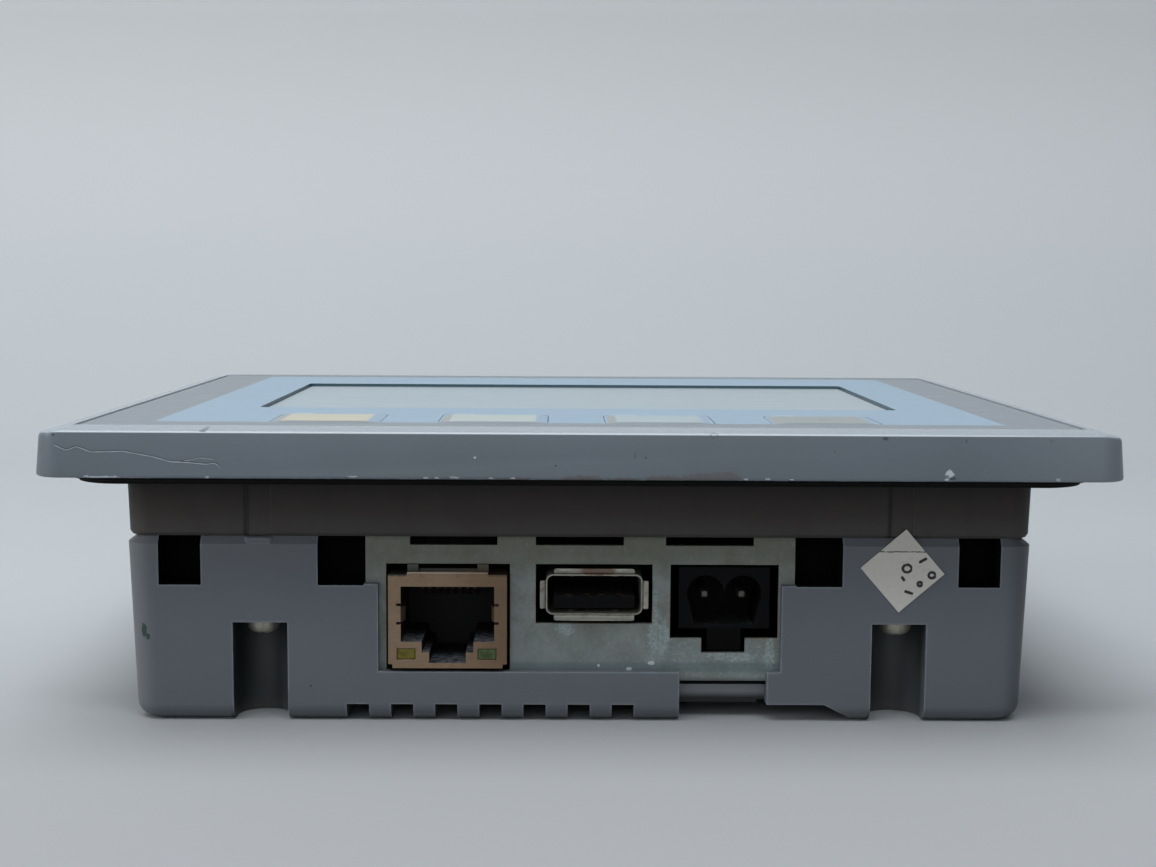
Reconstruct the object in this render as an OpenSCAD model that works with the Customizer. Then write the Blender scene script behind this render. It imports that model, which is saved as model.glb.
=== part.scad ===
// Compact operator panel with a touch display and four function keys, for a panel cut-out.
// Origin at the centre of the rear face, +Z out of the display face, -Y towards the sockets.

/* [Front bezel] */
// Width of the bezel
bezel_w = 141; // [139:0.5:144]
// Height of the bezel
bezel_h = 116; // [114:0.5:119]
// Thickness of the bezel's edge
bezel_t = 6.2; // [6:0.1:7]
// Radius of the bezel's upright corners
bezel_r = 4; // [4:0.5:7]
// Depth of the shallow recess that holds the front foil
foil_recess = 0.5; // [0.45:0.05:0.6]
// Thickness of the front wall under the foil
front_wall = 2.1; // [2:0.05:2.3]

/* [Housing behind the panel] */
// Width of the part that goes through the cut-out
body_w = 122; // [121.5:0.1:122.5]
// Height of the part that goes through the cut-out
body_h = 98; // [97.8:0.1:98.4]
// Radius of the body's upright corners
body_r = 3.5; // [3:0.5:4]
// Height of the front housing's collar behind the bezel
collar_h = 8.8; // [8.6:0.1:9.4]
// Height of the rear cover
cover_h = 25.2; // [25:0.1:25.6]
// Wall thickness of the rear cover
cover_wall = 2; // [1.8:0.1:2.1]
// Wall thickness of the collar
collar_wall = 2.2; // [2:0.1:2.4]
// Radius of the rear edges
rear_edge = 2.2; // [1.5:0.1:2.5]
// Chamfer of the cover's edge at the joint
joint_chamfer = 0.8; // [0.5:0.1:1]

/* [Display and keys] */
// Width of the display window
window_w = 95.2; // [94:0.2:97]
// Height of the display window
window_h = 52.4; // [51:0.2:54]
// Height of the window's centre above the bezel's middle
window_y = 5.7; // [5.4:0.1:6.4]
// Distance between neighbouring keys
key_pitch = 22.7; // [22:0.1:23]
// Width of a key
key_w = 14.8; // [13:0.1:15]
// Height of a key
key_h = 14.4; // [13:0.1:14.6]
// Gap between a key and the foil around it
key_gap = 0.15; // [0.1:0.01:0.2]
// How far a key travels
key_travel = 0.4; // [0.3:0.05:0.45]

/* [Sockets] */
// Middle of the network socket across the panel
net_x = -17.8; // [-18:0.1:-17.6]
// Middle of the data socket across the panel
usb_x = 1.85; // [1.6:0.05:2]
// Middle of the power header across the panel
power_x = 19.5; // [19.3:0.05:19.6]
// Distance between the two power pins
pin_pitch = 5.08; // [5:0.04:5.08]

/* [Screws and recesses] */
// Distance of the cover screws from the middle, across the panel
screw_x = 42.9; // [42.6:0.1:43.2]
// Distance of the cover screws from the middle, up the panel
screw_y = 45.6; // [45.4:0.1:45.8]
// Radius of the screwdriver channel
channel_r = 3.65; // [3.4:0.05:3.7]
// Depth of the clamp recesses into the side
recess_depth = 5; // [4.5:0.1:5]
// Distance between neighbouring vents
vent_pitch = 5.95; // [5.8:0.05:6.1]
// Width of a vent
vent_w = 3; // [2.6:0.1:3.2]

/* [Hidden] */

over = 1;                                // how far a cut reaches past a face
z_joint = cover_h;                       // joint of cover and front housing
z_bezel = z_joint + collar_h;            // rear face of the bezel
z_front = z_bezel + bezel_t;             // front rim of the bezel
z_recess = z_front - foil_recess;        // floor of the foil recess
z_inside = z_recess - front_wall;        // inner face of the front wall
half_h = body_h / 2;

foil_half_w = 66.5;
foil_y = [-51, 53];
foil_t = 0.4;
rim_side = [bezel_w / 2 - foil_half_w - 0.1, 0.5];  // width and drop of the rim at the left and right
rim_end = [4.9, 0.1];                    // the same at the top and bottom
window_x = window_w / 2;
window_y0 = window_y - window_h / 2;
window_y1 = window_y + window_h / 2;

key_y = -38.6;
key_r = 2.2;
key_shift = -0.6;                        // the key reaches a little further left than its field
key_raise = 0.25;                        // how far a key stands above the foil
key_t = 0.6;
plunger_r = 2.5;
well_margin = 0.8;
z_key_top = z_recess + foil_t + key_raise;
dome_h = 0.8;
dome_r = 5;
dome_t = 0.12;
board_t = 1;

glass_t = 1.2;
glass_margin = 3.8;
gasket_t = 0.5;
lcd_w = 105.5;
lcd_h = 67.2;
lcd_t = 2.9;
lcd_y = 5.2;
z_lcd = z_inside - gasket_t;             // front face of the display module
bracket_t = 0.8;
z_bracket = z_lcd - lcd_t - 0.1;         // front face of the bracket
bracket_pos = [[-56.2, -16], [56.2, -16], [-56.2, 29], [56.2, 29]];
standoff_pos = [[-47.5, -20], [47.5, -20], [-47.5, 31], [47.5, 31]];

pcb_t = 1.6;
z_pcb = 21.3;                            // rear face of the main board
z_pcb_top = z_pcb + pcb_t;

recess_z = 18.6;
recess_x = [[29, 35.1], [50.7, 56.3]];   // clamp recesses on one half of a side
recess_wall = 1.3;
channel_z = 13.5;
shank_r = 1.5;
floor_t = 2;
vent_z = 2.35;
vent_y = 38;                             // the vents run from here to the edge
vents_near = 7;
vents_near_x = -29.9;
vents_far = 11;
under_y = -30;                           // the relief under the terminal bay runs from the edge to here

plate_t = 0.8;
plate_y = -half_h + 1.5;                 // outer face of the connector plate
plate_x = [-28.9, 28.9];
plate_z = 5.4;
net_z = [7.35, 20.1];
net_w = 15.9;
net_y = [-half_h, -33];
net_open_w = 12.5;
usb_z = [14.5, 20.1];
usb_w = 13.1;
usb_y = [-half_h + 0.6, -34.4];
sheet_t = 0.3;
power_z = [12.4, 20.8];
power_w = 12.3;
power_y = [-46.5, -36.5];

// Helpers

module block(x, y, z) {
  translate([x[0], y[0], z[0]]) cube([x[1] - x[0], y[1] - y[0], z[1] - z[0]]);
}

module rounded(w, d, r) {
  square([w - 2 * r, d], center = true);
  square([w, d - 2 * r], center = true);
  for (x = [-1, 1], y = [-1, 1])
    translate([x * (w / 2 - r), y * (d / 2 - r)]) circle(r = r, $fn = 64);
}

module slab(w, d, r, z0, z1) {
  translate([0, 0, z0]) linear_extrude(height = z1 - z0) rounded(w, d, r);
}

module rod(pos, r, z0, z1) {
  translate([pos[0], pos[1], z0]) cylinder(r = r, h = z1 - z0, $fn = 48);
}

// A 2D outline in X and Z, drawn along Y
module along_y(y) {
  translate([0, y[1], 0]) rotate([90, 0, 0]) linear_extrude(height = y[1] - y[0]) children();
}

// A side view drawn along X and along Y, and the overlap of both
module both_ways(span = 100) {
  intersection() {
    along_y([-span, span]) children(0);
    rotate([0, 0, 90]) along_y([-span, span]) children(1);
  }
}

module cover_side(w) {
  translate([-w / 2 + rear_edge, 0]) square([w - 2 * rear_edge, rear_edge + 0.01]);
  translate([-w / 2, rear_edge]) square([w, cover_h - joint_chamfer - rear_edge]);
  for (s = [-1, 1]) translate([s * (w / 2 - rear_edge), rear_edge]) circle(r = rear_edge, $fn = 64);
  c = 0.5 * joint_chamfer;
  polygon([[-w / 2, cover_h - joint_chamfer], [w / 2, cover_h - joint_chamfer],
    [w / 2 - c, cover_h], [-w / 2 + c, cover_h]]);
}

module collar_side(w) {
  c = 0.4;
  polygon([[-w / 2 + c, z_joint], [w / 2 - c, z_joint], [w / 2, z_joint + c], [w / 2, z_bezel],
    [-w / 2, z_bezel], [-w / 2, z_joint + c]]);
}

// The bezel's side view: its rim falls away outwards by drop over the width lip, to a rounded edge
module bezel_side(w, lip, drop) {
  r = 0.4;
  edge_z = z_front - drop - r;
  translate([-w / 2, z_bezel]) square([w, edge_z - z_bezel]);
  for (s = [-1, 1]) translate([s * (w / 2 - r), edge_z]) circle(r = r, $fn = 48);
  polygon([[-w / 2 + r, edge_z - 0.01], [w / 2 - r, edge_z - 0.01], [w / 2 - r, z_front - drop],
    [w / 2 - lip, z_front], [-w / 2 + lip, z_front], [-w / 2 + r, z_front - drop]]);
}

// The four cover screws' places
module at_cover_screws() {
  for (x = [-1, 1], y = [-1, 1]) translate([x * screw_x, y * screw_y, 0]) children();
}

// One clamp recess with a margin round it, at all eight places
module recesses(margin, depth, z) {
  for (x = [-1, 1], y = [-1, 1], r = recess_x) {
    a = min(x * r[0], x * r[1]) - margin;
    b = max(x * r[0], x * r[1]) + margin;
    if (y < 0) block([a, b], [-half_h - over, -half_h + depth], z);
    else block([a, b], [half_h - depth, half_h + over], z);
  }
}

function key_x(i) = (i - 2.5) * key_pitch + key_shift;

// Front

in_w = body_w - 2 * collar_wall;
in_h = body_h - 2 * collar_wall;

// The bezel with the front wall
module front_housing() {
  color([0.42, 0.46, 0.52]) difference() {
    union() {
      difference() {
        intersection() {
          slab(bezel_w, bezel_h, bezel_r, z_bezel, z_front);
          both_ways() {
            bezel_side(bezel_w, rim_side[0], rim_side[1]);
            bezel_side(bezel_h, rim_end[0], rim_end[1]);
          }
        }
        slab(in_w, in_h, 1.5, z_bezel - over, z_inside);
      }
      for (p = bracket_pos) rod(p, 2.4, z_bracket, z_inside);
    }
    block([-foil_half_w - 0.1, foil_half_w + 0.1], [foil_y[0] - 0.1, foil_y[1] + 0.1],
      [z_recess, z_front + over]);
    block([-window_x, window_x], [window_y0, window_y1], [z_inside - over, z_front + over]);
    block([-window_x - glass_margin - 0.2, window_x + glass_margin + 0.2],
      [window_y0 - glass_margin - 0.2, window_y1 + glass_margin + 0.2],
      [z_inside - over, z_inside + glass_t + 0.1]);
    for (i = [1:4]) translate([key_x(i), key_y, 0])
      slab(key_w + 2 * well_margin, key_h + 1.2, key_r, z_inside - over, z_front);
    for (p = bracket_pos) rod(p, 1.05, z_bracket - over, z_inside - 0.3);
  }
}

// The collar behind the bezel, a node of its own so that its collision leaves the bezel's overhang free
module housing_collar() {
  ledge = 2;
  color([0.4, 0.44, 0.5]) difference() {
    union() {
      difference() {
        intersection() {
          slab(body_w, body_h, body_r, z_joint, z_bezel);
          both_ways() {
            collar_side(body_w);
            collar_side(body_h);
          }
        }
        slab(in_w, in_h, 1.5, z_joint - over, z_bezel + over);
      }
      intersection() {
        slab(body_w - 1, body_h - 1, body_r, z_joint, z_bezel);
        union() {
          at_cover_screws() cylinder(r = 3.6, h = z_bezel, $fn = 48);
          recesses(recess_wall, recess_depth + recess_wall, [z_joint, z_joint + ledge]);
        }
      }
    }
    at_cover_screws() translate([0, 0, z_joint - over])
      cylinder(r = shank_r - 0.2, h = 8 + over, $fn = 48);
    for (s = [-1, 1], y = [-half_h - over, half_h - 0.15])
      block([s * 42.85 - 1.45, s * 42.85 + 1.45], [y, y + over + 0.15],
        [z_joint - over, z_bezel + over]);
  }
}

module mounting_seal() {
  base_t = 0.6;
  color([0.06, 0.06, 0.065]) difference() {
    union() {
      slab(134.8, 112.6, 7.5, z_bezel - base_t, z_bezel);
      slab(132.8, 110.6, 6.5, z_bezel - 1.1, z_bezel - base_t);
    }
    slab(126.6, 102.6, 4.5, z_bezel - base_t - over, z_bezel - base_t);
    slab(124.4, 100.4, 4, z_bezel - base_t - over, z_bezel + over);
  }
}

module front_foil() {
  color([0.62, 0.71, 0.78]) difference() {
    block([-foil_half_w, foil_half_w], foil_y, [z_recess, z_recess + foil_t]);
    block([-window_x, window_x], [window_y0, window_y1], [z_recess - over, z_front + over]);
    for (i = [1:4]) translate([key_x(i), key_y, 0])
      slab(key_w + 2 * key_gap, key_h + 2 * key_gap, key_r + key_gap, z_recess - over, z_front + over);
  }
}

module function_key(i) {
  color([0.72, 0.75, 0.76]) {
    translate([key_x(i), key_y, 0]) slab(key_w, key_h, key_r, z_key_top - key_t, z_key_top);
    rod([key_x(i), key_y], plunger_r, z_inside + dome_h + 0.05, z_key_top - key_t);
  }
}

function dome_z(r) = dome_h * (1 - pow(r / dome_r, 2));

module key_dome(i) {
  steps = 8;
  rs = [for (k = [0:steps]) dome_r * k / steps];
  outer = [for (r = rs) [r, dome_z(r) + (r == dome_r ? dome_t / 2 : 0)]];
  inner = [for (k = [steps:-1:0]) [rs[k], max(0, dome_z(rs[k]) - dome_t)]];
  color([0.75, 0.75, 0.73]) translate([key_x(i), key_y, z_inside])
    rotate_extrude($fn = 64) polygon(concat(outer, inner));
}

module key_board() {
  color([0.1, 0.3, 0.16])
    block([-45, 45], [key_y - key_h / 2 - 0.6, key_y + key_h / 2 + 1.2],
      [z_inside - board_t, z_inside]);
}

// A flat cable that leaves one place level, runs straight down and ends level on the board
module flat_cable(x, y_start, y_run, y_end, z_start) {
  t = 0.2;
  z_end = z_pcb_top + 1.1;
  color([0.85, 0.83, 0.78]) {
    block(x, [min(y_start, y_run), max(y_start, y_run + t)], [z_start - t, z_start]);
    block(x, [y_run, y_run + t], [z_end, z_start]);
    block(x, [min(y_end, y_run), max(y_end, y_run + t)], [z_end, z_end + t]);
  }
}

module key_flex() {
  flat_cable([-24, -14], -34, -29.6, -27, z_inside - board_t);
}

module touch_flex() {
  flat_cable([-34, -26], 36.4, 39.7, 37.4, z_inside);
}

module display_flex() {
  flat_cable([-11, 11], 38.8, 40.5, 37.4, z_lcd - lcd_t + 0.7);
}

module touch_glass() {
  color([0.78, 0.81, 0.82])
    union() {
      block([-window_x - glass_margin, window_x + glass_margin],
        [window_y0 - glass_margin, window_y1 + glass_margin], [z_inside, z_inside + glass_t]);
      block([-window_x + 0.1, window_x - 0.1], [window_y0 + 0.1, window_y1 - 0.1],
        [z_inside + glass_t - 0.01, z_recess - 0.1]);
    }
}

module display_gasket() {
  color([0.1, 0.1, 0.1]) difference() {
    block([-50.5, 50.5], [window_y0 - 2, window_y1 + 2], [z_lcd, z_inside]);
    block([-window_x - 0.2, window_x + 0.2], [window_y0 - 0.2, window_y1 + 0.2],
      [z_lcd - over, z_inside + over]);
  }
}

module lcd_cell() {
  color([0.55, 0.57, 0.58]) translate([0, lcd_y, 0])
    block([-lcd_w / 2 + 1.1, lcd_w / 2 - 1.1], [-lcd_h / 2 + 1.1, lcd_h / 2 - 1.1],
      [z_lcd - 1.5, z_lcd - 0.3]);
}

module light_guide() {
  color([0.93, 0.94, 0.95]) translate([0, lcd_y, 0])
    block([-lcd_w / 2 + 1.1, lcd_w / 2 - 1.1], [-lcd_h / 2 + 1.1, lcd_h / 2 - 1.1],
      [z_lcd - lcd_t + 0.4, z_lcd - 1.5]);
}

module lcd_frame() {
  color([0.7, 0.71, 0.7]) difference() {
    translate([0, lcd_y, 0])
      block([-lcd_w / 2, lcd_w / 2], [-lcd_h / 2, lcd_h / 2], [z_lcd - lcd_t, z_lcd]);
    translate([0, lcd_y, 0])
      block([-lcd_w / 2 + 1, lcd_w / 2 - 1], [-lcd_h / 2 + 1, lcd_h / 2 - 1],
        [z_lcd - lcd_t + 0.4, z_lcd - 0.3]);
    block([-window_x - 0.3, window_x + 0.3], [window_y0 - 0.3, window_y1 + 0.3],
      [z_lcd - 1, z_lcd + over]);
  }
}

module display_bracket() {
  color([0.66, 0.68, 0.68]) difference() {
    union() {
      block([-52, 52], [-26, 36], [z_bracket - bracket_t, z_bracket]);
      for (p = bracket_pos) {
        s = sign(p[0]);
        block([min(s * 50, s * 58.4), max(s * 50, s * 58.4)], [p[1] - 4, p[1] + 4],
          [z_bracket - bracket_t, z_bracket]);
      }
    }
    for (p = bracket_pos) rod(p, 1.5, z_bracket - over - bracket_t, z_bracket + over);
    for (x = [-30, 0, 30]) translate([x, 5, 0])
      slab(18, 26, 3, z_bracket - bracket_t - over, z_bracket + over);
  }
}

// A pan-head screw that points up from its head
module screw_up(head_r, head_h, shank, shank_l) {
  difference() {
    union() {
      translate([0, 0, -head_h]) cylinder(r = head_r - 0.4, h = 0.5, $fn = 48);
      translate([0, 0, -head_h + 0.5]) cylinder(r = head_r, h = head_h - 0.5, $fn = 48);
      cylinder(r = shank, h = shank_l, $fn = 48);
    }
    for (a = [0, 90]) rotate([0, 0, a])
      block([-head_r * 0.55, head_r * 0.55], [-0.35, 0.35], [-head_h - over, -head_h + 0.8]);
  }
}

module bracket_screws() {
  color([0.72, 0.72, 0.7])
    for (p = bracket_pos) translate([p[0], p[1], z_bracket - bracket_t]) screw_up(2.1, 1.4, 1, 3.9);
}

module board_standoffs() {
  color([0.8, 0.68, 0.35]) for (p = standoff_pos) difference() {
    translate([p[0], p[1], z_pcb_top])
      cylinder(r = 2.9, h = z_bracket - bracket_t - z_pcb_top, $fn = 6);
    rod(p, 1.25, z_pcb_top - over, z_pcb_top + 6);
  }
}

// Main board and what is on it

module main_board() {
  color([0.08, 0.3, 0.17]) difference() {
    union() {
      block([-56.8, 56.8], [-42.3, 40], [z_pcb, z_pcb_top]);
      block([-27.2, 27.2], [-45.9, -42.3], [z_pcb, z_pcb_top]);
    }
    for (x = [-1, 1]) rod([x * screw_x, -screw_y], channel_r + recess_wall + 0.5, z_pcb - over,
      z_pcb_top + over);
    for (p = standoff_pos) rod(p, 1.4, z_pcb - over, z_pcb_top + over);
  }
}

module board_screws() {
  color([0.72, 0.72, 0.7])
    for (p = standoff_pos) translate([p[0], p[1], z_pcb]) screw_up(2.4, 1.5, 1.2, 6.5);
}

// A part standing on the front side of the board, or hanging from its rear side
module on_top(x, y, w, d, h) {
  block([x - w / 2, x + w / 2], [y - d / 2, y + d / 2], [z_pcb_top, z_pcb_top + h]);
}

module under(x, y, w, d, h) {
  block([x - w / 2, x + w / 2], [y - d / 2, y + d / 2], [z_pcb - h, z_pcb]);
}

module processor() {
  color([0.12, 0.12, 0.13]) on_top(-12, 4, 17, 17, 1.4);
}

module memory_chips() {
  color([0.11, 0.11, 0.12]) for (y = [-6, 8]) on_top(11, y, 11, 8, 1.1);
}

module flash_chip() {
  color([0.11, 0.11, 0.12]) on_top(30, 2, 12, 18, 1.1);
}

module network_chip() {
  color([0.11, 0.11, 0.12]) under(-38, -24, 7, 7, 0.9);
}

module network_transformer() {
  color([0.08, 0.08, 0.09]) under(-17.8, -22, 12.7, 16, 6);
}

module power_inductor() {
  color([0.2, 0.2, 0.21]) difference() {
    under(22, -12, 12, 12, 6);
    rod([22, -12], 2, z_pcb - 6 - over, z_pcb - 5);
  }
}

module electrolytic_capacitors() {
  color([0.75, 0.76, 0.78]) for (x = [14, 25]) {
    under(x, -28, 8.3, 8.3, 1.2);
    rod([x, -28], 4, z_pcb - 10.2, z_pcb - 1.2);
  }
}

module backup_capacitor() {
  color([0.72, 0.73, 0.74]) {
    rod([38, 22], 5.4, z_pcb_top + 0.6, z_pcb_top + 5.5);
    on_top(38, 22, 6, 2, 0.6);
  }
}

module clock_crystal() {
  color([0.78, 0.78, 0.77]) translate([-26, 18, 0]) slab(11, 4.6, 2.2, z_pcb_top, z_pcb_top + 3.5);
}

module input_fuse() {
  color([0.75, 0.7, 0.6]) under(36, -28, 10, 3, 3);
}

module buzzer() {
  color([0.1, 0.1, 0.1]) difference() {
    rod([-38, 4], 6, z_pcb_top, z_pcb_top + 5.5);
    rod([-38, 4], 1, z_pcb_top + 4, z_pcb_top + 5.5 + over);
  }
}

module flex_connectors() {
  color([0.88, 0.86, 0.8]) {
    difference() {
      on_top(0, 35.2, 26, 4.4, 2);
      block([-11.2, 11.2], [37.2, 38], [z_pcb_top + 1, z_pcb_top + 1.4]);
    }
    on_top(-30, 35.2, 11, 4.4, 2);
    on_top(-19, -24.8, 13, 4.4, 2);
  }
}

module small_components() {
  color([0.7, 0.62, 0.45]) {
    for (i = [0:7]) on_top(-34 + 5 * i, -14, 2, 1.25, 0.8);
    for (i = [0:5]) on_top(-30 + 9 * i, 24, 3.2, 1.6, 1.2);
    for (i = [0:5]) under(-34 + 7 * i, 4, 2, 1.25, 0.8);
    for (i = [0:4]) under(-30 + 12 * i, 18, 5, 4, 1.6);
  }
}

// Sockets and their steel plate

module connector_plate() {
  slots = [[-22.9, -11.2], [-6, 5.8], [11.5, 23.3]];
  color([0.56, 0.58, 0.56]) difference() {
    union() {
      block(plate_x, [plate_y, plate_y + plate_t], [plate_z, z_joint - 0.1]);
      block(plate_x, [plate_y, plate_y + 9], [plate_z, plate_z + plate_t]);
    }
    for (s = slots)
      block(s, [plate_y - over, plate_y + over + plate_t], [z_joint - 1.3, z_joint + over]);
    block([-26.1, -9.5], [plate_y - over, plate_y + plate_t + over], [6.7, z_pcb]);
    block([-26.1, -9.5], [plate_y + plate_t, plate_y + 9 + over], [plate_z - over, 7]);
    block([-6, 9.7], [plate_y - over, plate_y + plate_t + over], [13.25, z_pcb]);
    block([12.15, 26.75], [plate_y - over, plate_y + plate_t + over], [11.25, z_pcb]);
    block([16.4, 22.3], [plate_y - over, plate_y + plate_t + over], [9.25, 11.3]);
  }
}

// The outline of the network socket's mouth in X and Z, with the plug latch's two steps below
module net_mouth(grow) {
  translate([net_x - net_open_w / 2 - grow, 10.95 - grow])
    square([net_open_w + 2 * grow, 7.5 + 2 * grow]);
  translate([net_x - 3.45 - grow, 9.5 - grow]) square([6.9 + 2 * grow, 2]);
  translate([net_x - 2.45 - grow, 8.05 - grow]) square([4.9 + 2 * grow, 2]);
}

lens_dx = [-5.55, 5.3];
lens_w = 2.4;
slit_z = [13.3, 15.8];                   // slits in the mouth's sides that free the springs between them
lens_z = [8.6, 10];

module lens_outline(grow) {
  for (dx = lens_dx) translate([net_x + dx - lens_w / 2 - grow, lens_z[0] - grow])
    square([lens_w + 2 * grow, lens_z[1] - lens_z[0] + 2 * grow]);
}

module network_shell() {
  x = [net_x - net_w / 2, net_x + net_w / 2];
  color([0.72, 0.68, 0.6]) {
    difference() {
      block(x, net_y, net_z);
      block([x[0] + sheet_t, x[1] - sheet_t], [net_y[0] + sheet_t, net_y[1] - sheet_t],
        [net_z[0] + sheet_t, net_z[1] - sheet_t]);
      along_y([net_y[0] - over, net_y[0] + over]) {
        net_mouth(0);
        lens_outline(0.05);
      }
      for (s = [-1, 1], z = slit_z) translate([net_x + s * (net_open_w / 2 + 0.1), 0, 0])
        block([-0.5, 0.5], [net_y[0] - over, net_y[0] + sheet_t + 0.01], [z, z + 0.35]);
    }
    for (s = [-1, 1]) block([net_x + s * 4.7 - 0.75, net_x + s * 4.7 + 0.75],
      [net_y[0] + 1.2, net_y[0] + 1.5], [net_z[1], z_pcb]);
    for (s = [-1, 1])
      block([net_x + s * 7.4 - 0.4, net_x + s * 7.4 + 0.4], [-40, -38], [net_z[1], z_pcb]);
  }
}

module network_insert() {
  gap = sheet_t + 0.02;
  color([0.08, 0.08, 0.08]) difference() {
    block([net_x - net_w / 2 + gap, net_x + net_w / 2 - gap], [net_y[0] + gap, net_y[1] - gap],
      [net_z[0] + gap, net_z[1] - gap]);
    along_y([net_y[0] - over, net_y[0] + 12.6]) net_mouth(-0.02);
    along_y([net_y[0] - over, net_y[0] + 7.1]) lens_outline(0.05);
    for (s = [-1, 1], z = slit_z) translate([net_x + s * (net_open_w / 2 + 0.1), 0, 0])
      block([-0.6, 0.6], [net_y[0] - over, net_y[0] + 2], [z, z + 0.35]);
  }
}

module network_contacts() {
  pitch = 1.02;
  w = 0.34;
  color([0.85, 0.7, 0.35]) for (i = [0:7])
    translate([net_x + (i - 3.5) * pitch + w / 2, net_y[0], 0]) rotate([0, -90, 0])
      linear_extrude(height = w)
        polygon([[18, 2.6], [18.15, 3.3], [15.6, 11.2], [15.35, 11.1], [17.75, 2.6]]);
}

module lamp_lens(s) {
  dx = lens_dx[s < 0 ? 0 : 1];
  color(s < 0 ? [0.95, 0.85, 0.2] : [0.35, 0.85, 0.3])
    block([net_x + dx - lens_w / 2, net_x + dx + lens_w / 2],
      [net_y[0] + 0.05, net_y[0] + 7], lens_z);
}

module usb_shell() {
  x = [usb_x - usb_w / 2, usb_x + usb_w / 2];
  mid = (usb_z[0] + usb_z[1]) / 2;
  color([0.62, 0.6, 0.56]) {
    difference() {
      block(x, usb_y, usb_z);
      block([x[0] + sheet_t, x[1] - sheet_t], [usb_y[0] - over, usb_y[1] - sheet_t],
        [usb_z[0] + sheet_t, usb_z[1] - sheet_t]);
      for (s = [-1, 1]) translate([usb_x + s * 2.9, usb_y[0] + 6, usb_z[0] - over])
        cube([1.6, 3, 2 * over], center = true);
    }
    for (z = [usb_z[0] - 0.8, usb_z[1]])
      block([usb_x - 5.4, usb_x + 5.4], [usb_y[0], usb_y[0] + sheet_t], [z, z + 0.8]);
    for (s = [x[0] - 0.75, x[1]])
      block([s, s + 0.75], [usb_y[0], usb_y[0] + sheet_t], [mid - 1.9, mid + 1.9]);
    for (s = [-1, 1])
      block([usb_x + s * 6.1 - 0.4, usb_x + s * 6.1 + 0.4], [-38, -36], [usb_z[1], z_pcb]);
  }
}

tongue_z = [15.3, 17];

module usb_tongue() {
  color([0.09, 0.09, 0.09]) {
    block([usb_x - 5.5, usb_x + 5.5], [usb_y[0] + 0.9, usb_y[1] - 2.4], tongue_z);
    block([usb_x - 6.2, usb_x + 6.2], [usb_y[1] - 2.4, usb_y[1] - 0.35],
      [usb_z[0] + 0.35, usb_z[1] - 0.35]);
  }
}

module usb_contacts() {
  color([0.85, 0.7, 0.4]) for (dx = [-3.5, -1, 1, 3.5])
    block([usb_x + dx - 0.5, usb_x + dx + 0.5], [usb_y[0] + 1.6, usb_y[1] - 2.5],
      [tongue_z[1], tongue_z[1] + 0.15]);
}

module power_header() {
  floor_y = power_y[1] - 1.6;
  mid = (power_z[0] + power_z[1]) / 2;
  color([0.05, 0.05, 0.05]) difference() {
    union() {
      block([power_x - power_w / 2, power_x + power_w / 2], power_y, power_z);
      block([power_x - 2.3, power_x + 2.3], [power_y[0], power_y[0] + 5],
        [power_z[0] - 3, power_z[0] + 0.01]);
      block([power_x - 5.5, power_x + 5.5], [power_y[0] + 3, power_y[1]], [power_z[1], z_pcb]);
    }
    for (s = [-1, 1]) translate([power_x + s * pin_pitch / 2, floor_y, mid + 0.6]) rotate([90, 0, 0])
      cylinder(r = 2.5, h = 20, $fn = 48);
    along_y([power_y[0] - over, floor_y])
      polygon([[power_x - 5, mid + 0.6], [power_x - 4, power_z[0] + 0.55],
      [power_x + 4, power_z[0] + 0.55], [power_x + 5, mid + 0.6]]);
    for (s = [-1, 1]) block([power_x + s * pin_pitch / 2 - 0.55, power_x + s * pin_pitch / 2 + 0.55],
      [floor_y - over, power_y[1] + over], [mid - 0.3, mid + 0.8]);
  }
}

module power_pins() {
  mid = (power_z[0] + power_z[1]) / 2;
  color([0.78, 0.76, 0.7]) for (s = [-1, 1]) translate([power_x + s * pin_pitch / 2, 0, 0]) {
    block([-0.5, 0.5], [power_y[0] + 1.5, power_y[1] + 1.4], [mid - 0.25, mid + 0.75]);
    block([-0.5, 0.5], [power_y[1] + 0.4, power_y[1] + 1.4], [mid, z_pcb]);
  }
}

// Rear

module cover_body() {
  intersection() {
    slab(body_w, body_h, body_r, 0, cover_h);
    both_ways() {
      cover_side(body_w);
      cover_side(body_h);
    }
  }
}

module cover_walls() {
  difference() {
    cover_body();
    slab(body_w - 2 * cover_wall, body_h - 2 * cover_wall, 1.5, floor_t, cover_h + over);
  }
  intersection() {
    cover_body();
    union() {
      at_cover_screws() cylinder(r = channel_r + recess_wall, h = cover_h, $fn = 64);
      for (x = [-1, 1], y = [-1, 1]) translate([x * screw_x, y * screw_y + y * 3, cover_h / 2])
        cube([2 * (channel_r + recess_wall), 6, cover_h], center = true);
      recesses(recess_wall, recess_depth + recess_wall, [recess_z - recess_wall, cover_h]);
      block([12.2, 38], [-half_h, under_y + 1.5], [0, 4.2]);
      block([12.2, 26.4], [-half_h, -43], [0, 4.5]);
    }
  }
}

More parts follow.
